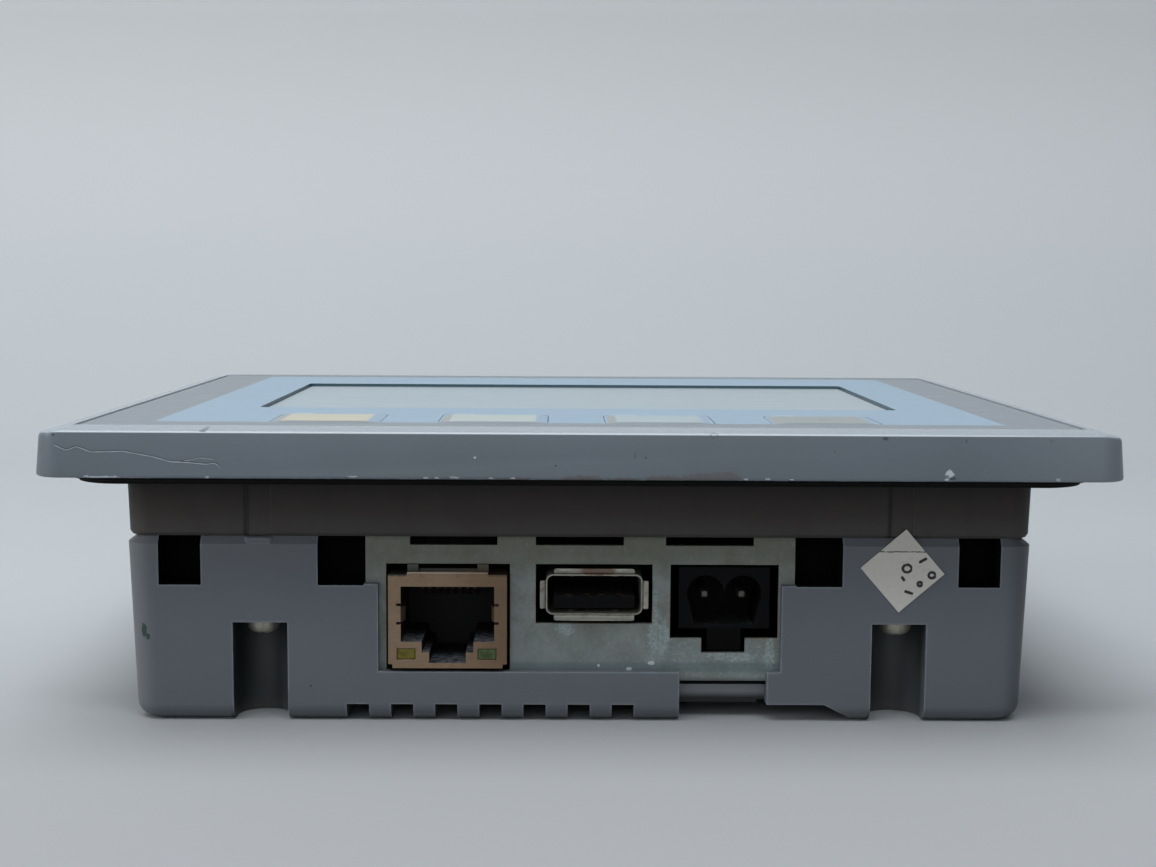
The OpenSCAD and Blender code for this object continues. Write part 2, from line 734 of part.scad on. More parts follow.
module rear_cover() {
  bay = [13.4, 25.2];
  color([0.33, 0.36, 0.4]) difference() {
    cover_walls();
    recesses(0, recess_depth, [recess_z, cover_h + over]);
    at_cover_screws() translate([0, 0, -over]) cylinder(r = channel_r, h = channel_z + over, $fn = 64);
    for (x = [-1, 1], y = [-1, 1]) translate([x * screw_x, y * (screw_y + 5), (channel_z - over) / 2])
      cube([2 * channel_r, 10, channel_z + over], center = true);
    at_cover_screws() cylinder(r = shank_r + 0.15, h = cover_h + over, $fn = 48);
    along_y([-half_h - over, plate_y + 0.05])
      polygon([[-29.05, cover_h + over], [-29.05, 18.8], [-27.1, 18.8],
      [-27.1, 6.85], [bay[0], 6.85], [bay[0], 5], [bay[1], 5], [bay[1], 6.85], [27, 6.85], [27, 18.7],
      [29.05, 18.7], [29.05, cover_h + over]]);
    block([plate_x[0] - 0.1, plate_x[1] + 0.1], [plate_y - 0.05, plate_y + plate_t + 0.1],
      [plate_z - 0.05, cover_h + over]);
    block(bay, [-half_h - over, -45.6], [-over, 6.85]);
    block(bay, [-46, under_y], [-over, 2]);
    along_y([-half_h - over, under_y]) polygon([[bay[1] - over, -over], [bay[1] - over, 2.4], [33, 2.4],
      [36.4, 0.6], [36.4, -over]]);
    for (i = [0:vents_near - 1]) translate([vents_near_x + i * vent_pitch, 0, 0])
      block([-vent_w / 2, vent_w / 2], [-half_h - over, -vent_y], [-over, vent_z]);
    for (i = [0:vents_far - 1]) translate([(i - (vents_far - 1) / 2) * vent_pitch, 0, 0])
      block([-vent_w / 2, vent_w / 2], [vent_y, half_h + over], [-over, floor_t - 0.6]);
    block([-32.3, 32.3], [-10.3, 20.3], [-over, 0.35]);
  }
}

module cover_screws() {
  color([0.6, 0.6, 0.58]) at_cover_screws() translate([0, 0, channel_z])
    screw_up(2.7, 1.9, shank_r - 0.25, 18);
}

module rating_label() {
  color([0.8, 0.81, 0.82]) block([-32, 32], [-10, 20], [0.15, 0.35]);
}

module seal_sticker() {
  side = 8;
  color([0.8, 0.79, 0.75]) translate([43.1, -half_h, 20.85]) rotate([90, 0, 0])
    linear_extrude(height = 0.12) rotate(-41) square([side, side], center = true);
}

front_housing();
housing_collar();
mounting_seal();
front_foil();
function_key(1);  // function_key_1
function_key(2);  // function_key_2
function_key(3);  // function_key_3
function_key(4);  // function_key_4
key_dome(1);  // key_dome_1
key_dome(2);  // key_dome_2
key_dome(3);  // key_dome_3
key_dome(4);  // key_dome_4
key_board();
key_flex();
touch_glass();
touch_flex();
display_gasket();
lcd_cell();
light_guide();
lcd_frame();
display_flex();
display_bracket();
bracket_screws();
board_standoffs();
main_board();
board_screws();
processor();
memory_chips();
flash_chip();
network_chip();
network_transformer();
power_inductor();
electrolytic_capacitors();
backup_capacitor();
clock_crystal();
input_fuse();
buzzer();
flex_connectors();
small_components();
connector_plate();
network_shell();
network_insert();
network_contacts();
lamp_lens(-1);  // lamp_lens_left
lamp_lens(1);  // lamp_lens_right
usb_shell();
usb_tongue();
usb_contacts();
power_header();
power_pins();
rear_cover();
cover_screws();
rating_label();
seal_sticker();
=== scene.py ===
import math
import random

import bmesh
import bpy
from mathutils import Matrix, Vector


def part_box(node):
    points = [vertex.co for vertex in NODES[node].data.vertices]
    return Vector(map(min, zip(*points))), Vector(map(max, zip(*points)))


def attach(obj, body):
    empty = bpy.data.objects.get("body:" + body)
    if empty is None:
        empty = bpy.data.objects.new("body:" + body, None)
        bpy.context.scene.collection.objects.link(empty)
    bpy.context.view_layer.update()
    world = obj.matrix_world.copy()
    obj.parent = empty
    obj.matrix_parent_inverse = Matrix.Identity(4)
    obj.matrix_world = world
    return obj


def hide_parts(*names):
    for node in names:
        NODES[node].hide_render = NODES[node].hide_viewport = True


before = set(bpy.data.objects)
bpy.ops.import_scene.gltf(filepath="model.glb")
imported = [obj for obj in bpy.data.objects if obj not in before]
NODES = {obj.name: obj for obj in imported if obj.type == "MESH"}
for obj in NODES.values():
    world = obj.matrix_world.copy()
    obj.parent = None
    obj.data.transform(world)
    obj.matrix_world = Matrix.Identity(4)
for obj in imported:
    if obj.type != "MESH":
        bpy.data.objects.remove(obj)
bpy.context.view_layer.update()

# Everything below is worked out in millimetres and scaled to metres when a mesh is made.
MM = 0.001
ROOT = "panel"
KEYS = [f"function_key_{i}" for i in range(1, 5)]


def low_high(node):
    """A CAD node's lowest and highest corner, in millimetres."""
    low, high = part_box(node)
    return [v / MM for v in low], [v / MM for v in high]


# Places read from the frame

COVER_HIGH = low_high("rear_cover")[1]
HOUSING_LOW, HOUSING_HIGH = low_high("front_housing")
COLLAR_LOW, COLLAR_HIGH = low_high("housing_collar")
FOIL_LOW, FOIL_HIGH = low_high("front_foil")
GLASS_LOW, GLASS_HIGH = low_high("touch_glass")
NET_LOW, NET_HIGH = low_high("network_insert")
USB_LOW, USB_HIGH = low_high("usb_tongue")

BODY_X = COVER_HIGH[0]
BODY_Y = COVER_HIGH[1]
BEZEL_X = HOUSING_HIGH[0]
BEZEL_Y = HOUSING_HIGH[1]
Z_JOINT = COVER_HIGH[2]
Z_BEZEL = HOUSING_LOW[2]
Z_FRONT = HOUSING_HIGH[2]
Z_FOIL = FOIL_HIGH[2]
GLASS_MARGIN = 3.8
WINDOW_X = GLASS_HIGH[0] - GLASS_MARGIN
WINDOW_Y = (GLASS_LOW[1] + GLASS_MARGIN, GLASS_HIGH[1] - GLASS_MARGIN)

# The bezel's rim: width, drop, draft and edge radius at the left and right, then at the front and back
SIDE_RIM = (3.9, 0.5, 0.42, 0.8)
END_RIM = (4.9, 0.1, 0.3, 0.4)
BEZEL_R = 4.0

# Bites in the bezel's lower front edge: place along it and size
BITES = [(-63.2, 0.5), (-59.5, 0.35), (-47.8, 0.35), (-29.5, 0.8), (-20.1, 0.45), (-18.7, 0.4), (-16.6, 0.7),
         (-11.8, 0.35), (-9.0, 0.4), (20.8, 0.35), (23.6, 0.5), (26.7, 0.35), (60.9, 0.4)]

# The cover's dark channels: the middle of each, and what they cover on either side
CHANNEL_MIDDLE = 42.9
CHANNEL_X = (38.9, 47.0)

# The clamp recesses: where they lie across, how deep in from the side, and how high
RECESS_X = ((28.9, 35.2), (50.6, 56.4))
RECESS_DEPTH = (0.35, 5.3)
RECESS_Z = (18.5, Z_JOINT + 2.2)

# The printed foil: its two grounds, where the blue one lies, and each key's field
FOIL_GREY = (0.171, 0.198, 0.224)
FOIL_BLUE = (0.216, 0.316, 0.406)
BLUE_X = (-57.5, 57.5)
BLUE_Y = (-44.6, 50.0)
KEY_FIELDS = [(0.415, 0.40, 0.305), (0.345, 0.395, 0.378), (0.295, 0.355, 0.385), (0.228, 0.256, 0.254)]

# How far the shaped outsides stay within the CAD's
HAIR = 0.02

# ---------------------------------------------------------------- node materials


def socket_of(value):
    return isinstance(value, bpy.types.NodeSocket)


def add(tree, kind, values=None, **settings):
    """A shader node with its settings and its sockets' values or links."""
    made = tree.nodes.new(kind)
    for name, value in settings.items():
        setattr(made, name, value)
    for key, value in (values or {}).items():
        if socket_of(value):
            tree.links.new(value, made.inputs[key])
        else:
            made.inputs[key].default_value = value
    return made


def rgb(color):
    return (*color, 1.0)


def new_material(name, color, roughness, metallic=0.0, **more):
    """A material, its shader and the place on the surface; more holds sockets that are the same all over."""
    material = bpy.data.materials.new(name)
    material.use_nodes = True
    tree = material.node_tree
    tree.nodes.clear()
    shader = add(tree, "ShaderNodeBsdfPrincipled", {
        "Base Color": rgb(color), "Roughness": roughness, "Metallic": metallic})
    for key, value in more.items():
        shader.inputs[key.replace("_", " ")].default_value = value
    out = add(tree, "ShaderNodeOutputMaterial")
    tree.links.new(shader.outputs["BSDF"], out.inputs["Surface"])
    material.diffuse_color = rgb(color)
    return material, shader, place_mm(tree)


def place_mm(tree):
    """The point on the surface, in millimetres of the object's frame."""
    coords = add(tree, "ShaderNodeTexCoord")
    scaled = add(tree, "ShaderNodeMapping", {"Vector": coords.outputs["Object"], "Scale": (1000, 1000, 1000)})
    return scaled.outputs["Vector"]


# The helpers below work in the node tree of the socket that they are given.


def stretched(place, scale):
    return add(place.id_data, "ShaderNodeMapping", {"Vector": place, "Scale": scale}).outputs["Vector"]


def noise(place, per_mm, detail=3.0, rough=0.55, distortion=0.0):
    made = add(place.id_data, "ShaderNodeTexNoise", {
        "Vector": place, "Scale": per_mm, "Detail": detail, "Roughness": rough, "Distortion": distortion})
    return made.outputs["Fac"]


def calc(operation, a, b=0.0, clamp=False):
    tree = (a if socket_of(a) else b).id_data
    return add(tree, "ShaderNodeMath", {0: a, 1: b}, operation=operation, use_clamp=clamp).outputs[0]


def times(a, b):
    return calc("MULTIPLY", a, b)


def plus(a, b):
    return calc("ADD", a, b)


def minus(a, b, clamp=False):
    return calc("SUBTRACT", a, b, clamp)


def size_of(value):
    return calc("ABSOLUTE", value)


def step(value, low, high):
    """0 below low, 1 above high, smooth between; high may be the lower one."""
    made = add(value.id_data, "ShaderNodeMapRange", {
        "Value": value, "From Min": low, "From Max": high}, interpolation_type="SMOOTHSTEP")
    return made.outputs["Result"]


def spread(value, low, high):
    """A 0 to 1 value spread over low to high."""
    made = add(value.id_data, "ShaderNodeMapRange", {"Value": value, "To Min": low, "To Max": high})
    return made.outputs["Result"]


def blend(amount, a, b):
    """The colour a where amount is 0 and b where it is 1."""
    tree = amount.id_data
    made = add(tree, "ShaderNodeMix", {0: amount}, data_type="RGBA")
    for key, value in ((6, a), (7, b)):
        if socket_of(value):
            tree.links.new(value, made.inputs[key])
        else:
            made.inputs[key].default_value = rgb(value)
    return made.outputs[2]


def laid(shade, mask, color, strength=1.0):
    """The colour so far, with another one laid over it where the mask is 1."""
    amount = mask if strength == 1.0 else times(mask, strength)
    return blend(amount, shade, color)


def tinted(color, factor):
    return tuple(min(1.0, c * factor) for c in color)


def split(vector):
    """The vector's outputs X, Y and Z."""
    return add(vector.id_data, "ShaderNodeSeparateXYZ", {"Vector": vector}).outputs


def bumped(shader, height, depth_mm, under=None):
    """Puts a bump of that depth on the shader and returns its normal."""
    tree = height.id_data
    values = {"Height": height, "Distance": depth_mm * MM, "Strength": 1.0}
    if under is not None:
        values["Normal"] = under
    made = add(tree, "ShaderNodeBump", values)
    tree.links.new(made.outputs["Normal"], shader.inputs["Normal"])
    return made.outputs["Normal"]


def drive(shader, key, value):
    value.id_data.links.new(value, shader.inputs[key])


def add_shade(shader, mask, color, strength=1.0):
    """Lays another colour over what the shader's base colour is now."""
    now = shader.inputs["Base Color"].links[0].from_socket
    drive(shader, "Base Color", laid(now, mask, color, strength))


def dress(shader, shade, dull, height, depth_mm):
    """Gives the shader its colour, its roughness and a first bump, and returns the bump's normal."""
    drive(shader, "Base Color", shade)
    drive(shader, "Roughness", dull)
    return bumped(shader, height, depth_mm)


def shader_of(material):
    return next(n for n in material.node_tree.nodes if n.type == "BSDF_PRINCIPLED")


def edges(place, radius_mm):
    """1 on sharp convex and concave edges, 0 on flat ground."""
    tree = place.id_data
    soft = add(tree, "ShaderNodeBevel", {"Radius": radius_mm * MM}, samples=6)
    plain_side = add(tree, "ShaderNodeNewGeometry")
    dot = add(tree, "ShaderNodeVectorMath", {0: soft.outputs["Normal"], 1: plain_side.outputs["Normal"]},
              operation="DOT_PRODUCT")
    return step(dot.outputs["Value"], 0.995, 0.86)


def upward(place):
    """1 where the surface looks up, 0 where it is upright or looks down."""
    side = add(place.id_data, "ShaderNodeNewGeometry")
    return step(split(side.outputs["Normal"])["Z"], 0.35, 0.95)


def inside(value, low, high, soft=0.08):
    """1 where value lies between low and high."""
    rise = step(value, low - soft, low + soft)
    fall = step(value, high + soft, high - soft)
    return times(rise, fall)


def box_mask(place, x, y, soft=0.08):
    """1 inside a box in X and Y."""
    axes = split(place)
    return times(inside(axes["X"], *x, soft), inside(axes["Y"], *y, soft))


def oval(place, x, z, half_w, half_h, ragged=0.5, per_mm=1.6):
    """How far out a point on the socket side lies from an oval's middle: 1 at its ragged edge."""
    tree = place.id_data
    moved = add(tree, "ShaderNodeMapping", {
        "Vector": place, "Location": (-x / half_w, 0, -z / half_h), "Scale": (1 / half_w, 0, 1 / half_h)})
    reach = add(tree, "ShaderNodeVectorMath", {0: moved.outputs["Vector"]}, operation="LENGTH")
    torn = times(minus(noise(place, per_mm, 4.0, 0.7), 0.5), 2 * ragged)
    behind = step(split(place)["Y"], -45.0, -44.0)
    return plus(plus(reach.outputs["Value"], torn), times(behind, 9.0))


def ovals(place, spots, ragged=0.5, per_mm=1.6, ring=False):
    """1 inside any of several ovals (x, z, half width, half height), or just along their edges."""
    whole = 0.0
    for spot in spots:
        reach = oval(place, *spot, ragged, per_mm)
        made = inside(reach, 0.98, 1.3, 0.06) if ring else step(reach, 1.05, 0.8)
        whole = calc("MAXIMUM", made, whole)
    return whole


def moulded(name, color, roughness=0.5, grain=0.012, edge_wear_and_highlight=0.35, dust=0.25, edge_wear_and_highlight_color=None):
    """Fine-grained moulded plastic with mottling, scuffs, lighter edges and dust; the edges are wear, and
    painted highlight where edge_wear_and_highlight is strong.
    """
    material, shader, place = new_material(name, color, roughness, Specular_IOR_Level=0.42)
    mottle = noise(place, 0.06, 4.0)
    fine = noise(place, 5.0, 2.0)
    cloud = noise(place, 0.6, 5.0, 0.65)
    shade = blend(mottle, tinted(color, 0.9), tinted(color, 1.1))
    shade = laid(shade, step(fine, 0.62, 0.75), tinted(color, 1.5), 0.25)
    streaks = noise(stretched(place, (0.25, 0.25, 3.0)), 1.3, 3.0)
    shade = laid(shade, step(streaks, 0.6, 0.85), tinted(color, 0.7), 0.25)
    # Lighter edges: wear, and where edge_wear_and_highlight is strong, as on the cover, painted highlight.
    worn = times(edges(place, 0.3), step(cloud, 0.38, 0.62))
    shade = laid(shade, worn, edge_wear_and_highlight_color or tinted(color, 2.2), edge_wear_and_highlight)
    dusty = times(upward(place), spread(cloud, 0.2, 1.0))
    shade = laid(shade, dusty, (0.42, 0.40, 0.37), dust)
    peel = noise(place, 1.1, 2.0)
    below = dress(shader, shade, spread(cloud, roughness - 0.1, roughness + 0.12), fine, grain)
    bumped(shader, peel, grain * 0.8, below)
    return material, shader, place


def bezel_plastic():
    """The bezel: a painted highlight along its upper front edge, a painted reflection on its upward rim,
    painted light on its right end, painted shade in its bites, pale flecks at its bites, brown scuffs and a
    few nicks.
    """
    color = (0.119, 0.143, 0.168)
    material, shader, place = moulded(
        "housing_plastic", color, roughness=0.34, grain=0.0012, edge_wear_and_highlight=0.10, dust=0.0)
    z = split(place)["Z"]
    rub_and_highlight_noise = noise(stretched(place, (0.5, 0.5, 1.0)), 1.4, 6.0, 0.7)
    lip = upward(place)
    # Painted reflection: the upward rim is lightened as if it mirrored the pale wall.
    add_shade(shader, lip, (0.270, 0.318, 0.362), 0.85)
    # Painted highlight: a bright band along the rounded top of the front face, broken up by noise.
    painted_highlight = times(inside(z, Z_FRONT - 0.38, Z_FRONT - 0.06, 0.07), step(rub_and_highlight_noise, 0.15, 0.40))
    painted_highlight = times(painted_highlight, minus(1.0, lip))
    add_shade(shader, painted_highlight, (0.66, 0.72, 0.77), 0.85)
    low_edge = times(inside(z, Z_BEZEL - 0.1, Z_BEZEL + 0.08, 0.08), step(rub_and_highlight_noise, 0.48, 0.60))
    add_shade(shader, low_edge, (0.36, 0.39, 0.43), 0.5)
    scuffs = [(0.3, 34.15, 2.9, 0.5), (5.6, 34.1, 1.8, 0.3), (10.4, 34.2, 3.0, 0.5), (15.2, 34.3, 2.6, 0.65),
              (18.3, 34.35, 1.9, 0.75), (-9.0, 34.05, 2.4, 0.3)]
    add_shade(shader, ovals(place, scuffs, 1.1, 1.5), (0.100, 0.092, 0.092), 0.75)
    # Painted shade inside the bites in the lower front edge.
    bite_shade = [(x, Z_BEZEL, *bite_size(size)) for x, size in BITES]
    add_shade(shader, ovals(place, bite_shade, 0.5, 2.4), (0.060, 0.067, 0.075), 0.45)
    flecks = [(x + 0.25 * size, Z_BEZEL + 0.12 + 0.22 * size, 0.85 * size, 0.07 + 0.12 * size)
              for x, size in BITES]
    add_shade(shader, ovals(place, flecks, 1.3, 3.4), (0.48, 0.52, 0.56), 0.8)
    pale = [(-61.2, 34.15, 2.4, 0.12), (47.05, 35.05, 0.55, 0.5), (46.6, 34.3, 0.25, 0.15),
            (-13.7, 36.85, 0.17, 0.16), (60.9, 34.4, 0.3, 0.12), (-47.8, 34.08, 0.18, 0.14)]
    add_shade(shader, ovals(place, pale, 1.3, 3.6), (0.50, 0.56, 0.61), 0.85)
    dark = [(-48.3, 40.05, 0.5, 0.15), (38.7, 39.5, 0.4, 0.22), (-3.4, 35.85, 0.17, 0.15),
            (8.1, 36.95, 0.17, 0.15), (6.7, 37.2, 0.08, 0.5), (60.0, 39.3, 0.12, 0.25),
            (49.1, 39.2, 0.09, 0.3), (32.2, 37.8, 0.1, 0.1), (47.4, 34.45, 0.45, 0.22),
            (-67.3, 39.5, 0.25, 0.2)]
    add_shade(shader, ovals(place, dark, 0.6, 2.6), (0.028, 0.033, 0.042), 0.7)
    ring = ovals(place, [(16.8, 39.75, 0.42, 0.26)], 0.4, 2.4, True)
    add_shade(shader, ring, (0.06, 0.07, 0.08), 0.6)
    # Painted light on the right end of the front, less on the upward rim.
    lit_right_end = times(step(split(place)["X"], 48.0, 69.0), minus(0.6, lip, True))
    add_shade(shader, lit_right_end, (0.175, 0.200, 0.230))
    dull = spread(noise(place, 0.6, 5.0), 0.28, 0.46)
    drive(shader, "Roughness", blend(lip, dull, spread(rub_and_highlight_noise, 0.20, 0.25)))
    return material


def collar_plastic():
    """The collar behind the bezel: the same plastic, coloured dark and warm as painted shade under the
    bezel's overhang, with darker grime runs.
    """
    color = (0.0345, 0.0298, 0.0262)
    material, shader, place = moulded(
        "collar_plastic", color, roughness=0.62, grain=0.004, edge_wear_and_highlight=0.10, dust=0.0)
    shader.inputs["Specular IOR Level"].default_value = 0.32
    axes = split(place)
    runs = noise(stretched(place, (1.0, 1.0, 0.12)), 0.5, 4.0)
    add_shade(shader, step(runs, 0.52, 0.75), (0.022, 0.020, 0.018), 0.35)
    # Painted shadow: darker towards the top, under the seal and the bezel.
    shade_under_bezel = times(step(axes["Z"], 28.0, COLLAR_HIGH[2] - 0.8), 0.55)
    add_shade(shader, shade_under_bezel, (0.013, 0.008, 0.006))
    # Painted light: lighter towards the bottom, out of the bezel's shadow.
    foot = times(step(axes["Z"], 29.0, 26.0), 0.6)
    add_shade(shader, foot, (0.056, 0.052, 0.050))
    red = noise(place, 0.12, 2.0)
    add_shade(shader, step(red, 0.50, 0.68), (0.030, 0.018, 0.016), 0.35)
    # Painted shade along the left edge of each clamp groove.
    for x in (-44.6, 41.3):
        painted_groove_shade = inside(axes["X"], x - 0.3, x + 0.2, 0.25)
        add_shade(shader, painted_groove_shade, (0.005, 0.004, 0.004), 0.8)
    # Painted light along the right edge of each clamp groove.
    for x in (-41.3, 44.3):
        line = inside(axes["X"], x - 0.12, x + 0.12, 0.1)
        add_shade(shader, line, (0.048, 0.044, 0.038), 0.5)
    return material


def cover_plastic():
    """The rear cover: edges lightened by wear and painted highlight, painted shade in its channels, painted
    light and shade on its front, and a green ink smear low on one corner.
    """
    # The cover's strong edge_wear_and_highlight is mostly painted highlight on its edges.
    material, shader, place = moulded(
        "cover_plastic", (0.099, 0.113, 0.132), roughness=0.44, grain=0.004, edge_wear_and_highlight=0.9, dust=0.05,
        edge_wear_and_highlight_color=(0.27, 0.30, 0.34))
    axes = split(place)
    x, y, z = axes["X"], axes["Y"], axes["Z"]
    # Painted light on the left front corner and painted shade on the right front corner.
    corner = times(step(y, -44.0, -47.5), 0.5)
    add_shade(shader, times(step(x, -56.5, -60.0), corner), (0.185, 0.190, 0.190))
    add_shade(shader, times(step(x, 57.0, 60.5), corner), (0.040, 0.039, 0.043))
    deep = step(size_of(y), BODY_Y - 0.15, BODY_Y - 1.3)
    aside = size_of(x)
    # Painted shade inside the screw channels.
    channel_shade = times(inside(aside, *CHANNEL_X, 0.1), step(z, 13.9, 13.3))
    channel_shade = times(channel_shade, deep)
    add_shade(shader, channel_shade, (0.013, 0.015, 0.014), 0.72)
    for centre in (-CHANNEL_MIDDLE, CHANNEL_MIDDLE):
        shadow = times(channel_shade, inside(x, centre - 4.4, centre - 2.6, 0.9))
        add_shade(shader, shadow, (0.006, 0.007, 0.007), 0.7)
        lit = times(channel_shade, step(x, centre + 1.2, centre + 3.2))
        lit = times(lit, step(z, 12.5, 5.0))
        lit = times(lit, step(x, centre + 6.0, centre + 5.9))
        add_shade(shader, lit, (0.13, 0.14, 0.15), 0.6)
    # Painted highlight along the edges of the front's steps.
    rim = times(edges(place, 0.55), step(size_of(y), 47.6, 48.4))
    add_shade(shader, rim, (0.205, 0.235, 0.270), 0.5)
    # Painted shade: darker towards the top, under the collar and the bezel.
    high = times(step(z, 17.0, 24.5), 0.2)
    add_shade(shader, high, (0.080, 0.082, 0.085))
    # Painted light on the bay strip's front, and painted shade towards its bottom.
    strip = times(inside(y, -46.2, -45.2, 0.1), inside(x, 13.0, 25.6, 0.1))
    strip = times(strip, step(z, 4.9, 4.8))
    add_shade(shader, strip, (0.24, 0.26, 0.29), 0.8)
    add_shade(shader, times(strip, step(z, 3.7, 2.5)), (0.010, 0.010, 0.010))
    smear = ovals(place, [(-58.4, 12.35, 0.40, 1.05), (-57.9, 11.5, 0.3, 0.5)], 0.6, 1.4)
    add_shade(shader, smear, (0.004, 0.040, 0.026), 0.92)
    speck = ovals(place, [(-36.2, 4.85, 0.2, 0.15), (-9.5, 9.5, 0.15, 0.15)], 0.4, 2.2)
    add_shade(shader, speck, (0.02, 0.02, 0.02), 0.8)
    foot = times(step(z, 2.0, 0.3), spread(noise(place, 0.8, 4.0), 0.0, 0.3))
    add_shade(shader, foot, (0.15, 0.13, 0.10))
    return material


def seal_rubber():
    material, shader, place = new_material("seal_rubber", (0.006, 0.006, 0.006), 0.8, Specular_IOR_Level=0.12)
    pores = noise(place, 3.2, 4.0, 0.7)
    shade = blend(step(pores, 0.5, 0.8), (0.004, 0.004, 0.004), (0.012, 0.012, 0.011))
    shade = laid(shade, upward(place), (0.1, 0.095, 0.09), 0.3)
    dress(shader, shade, spread(pores, 0.6, 0.9), pores, 0.04)
    return material


def foil_skin(name, zones, shade_cut_edges=True):
    """Printed foil with a fine satin grain. zones is a list of (x range, y range, colour)."""
    material, shader, place = new_material(name, FOIL_GREY, 0.34, Specular_IOR_Level=0.5)
    cloud = noise(place, 0.12, 5.0, 0.6)
    shade = blend(cloud, tinted(FOIL_GREY, 0.94), tinted(FOIL_GREY, 1.05))
    for x, y, color in zones:
        shade = blend(box_mask(place, x, y), shade, color)
    smear = noise(stretched(place, (0.4, 1.6, 1.0)), 0.35, 5.0, 0.7)
    shade = laid(shade, step(smear, 0.5, 0.8), (0.42, 0.43, 0.42), 0.12)
    specks = noise(place, 2.2, 2.0)
    shade = laid(shade, step(specks, 0.74, 0.82), (0.16, 0.17, 0.18), 0.35)
    if shade_cut_edges:
        # Painted shade: the foil's upright cut edges are darkened, except around the keys.
        cut = minus(1.0, upward(place))
        keys = box_mask(place, (-43.5, 43.0), (-46.5, -30.0), 0.2)
        cut = times(cut, minus(0.92, keys, True))
        shade = blend(cut, shade, (0.022, 0.070, 0.090))
    dress(shader, shade, spread(smear, 0.26, 0.48), noise(place, 7.0, 1.0), 0.003)
    return material


def screen_skin():
    """The matt touch screen over the unlit display, with a thin dark rim, partly a printed border and partly
    painted shade of the window's step, wider at the far edge.
    """
    color = (0.278, 0.340, 0.378)
    material, shader, place = new_material("screen_skin", color, 0.3, Specular_IOR_Level=0.5)
    cloud = noise(place, 0.08, 4.0)
    shade = blend(cloud, tinted(color, 0.95), tinted(color, 1.04))
    # Painted reflection: a warmer tone that grows towards the right.
    warm = step(split(place)["X"], -20, 45)
    shade = laid(shade, warm, (0.292, 0.338, 0.358), 0.5)
    smear = noise(stretched(place, (0.3, 1.2, 1.0)), 0.3, 6.0, 0.7)
    shade = laid(shade, step(smear, 0.5, 0.8), (0.45, 0.45, 0.43), 0.1)
    # The dark rim: partly a printed border, partly painted shade of the window's step; it is twice as wide at
    # the far edge.
    rim = 0.16
    clear_x = (-WINDOW_X + rim, WINDOW_X - rim)
    clear_y = (WINDOW_Y[0] + rim, WINDOW_Y[1] - 2 * rim)
    clear = box_mask(place, clear_x, clear_y, 0.05)
    shade = blend(clear, (0.010, 0.030, 0.038), shade)
    dress(shader, shade, spread(smear, 0.24, 0.42), noise(place, 9.0, 1.0), 0.002)
    return material


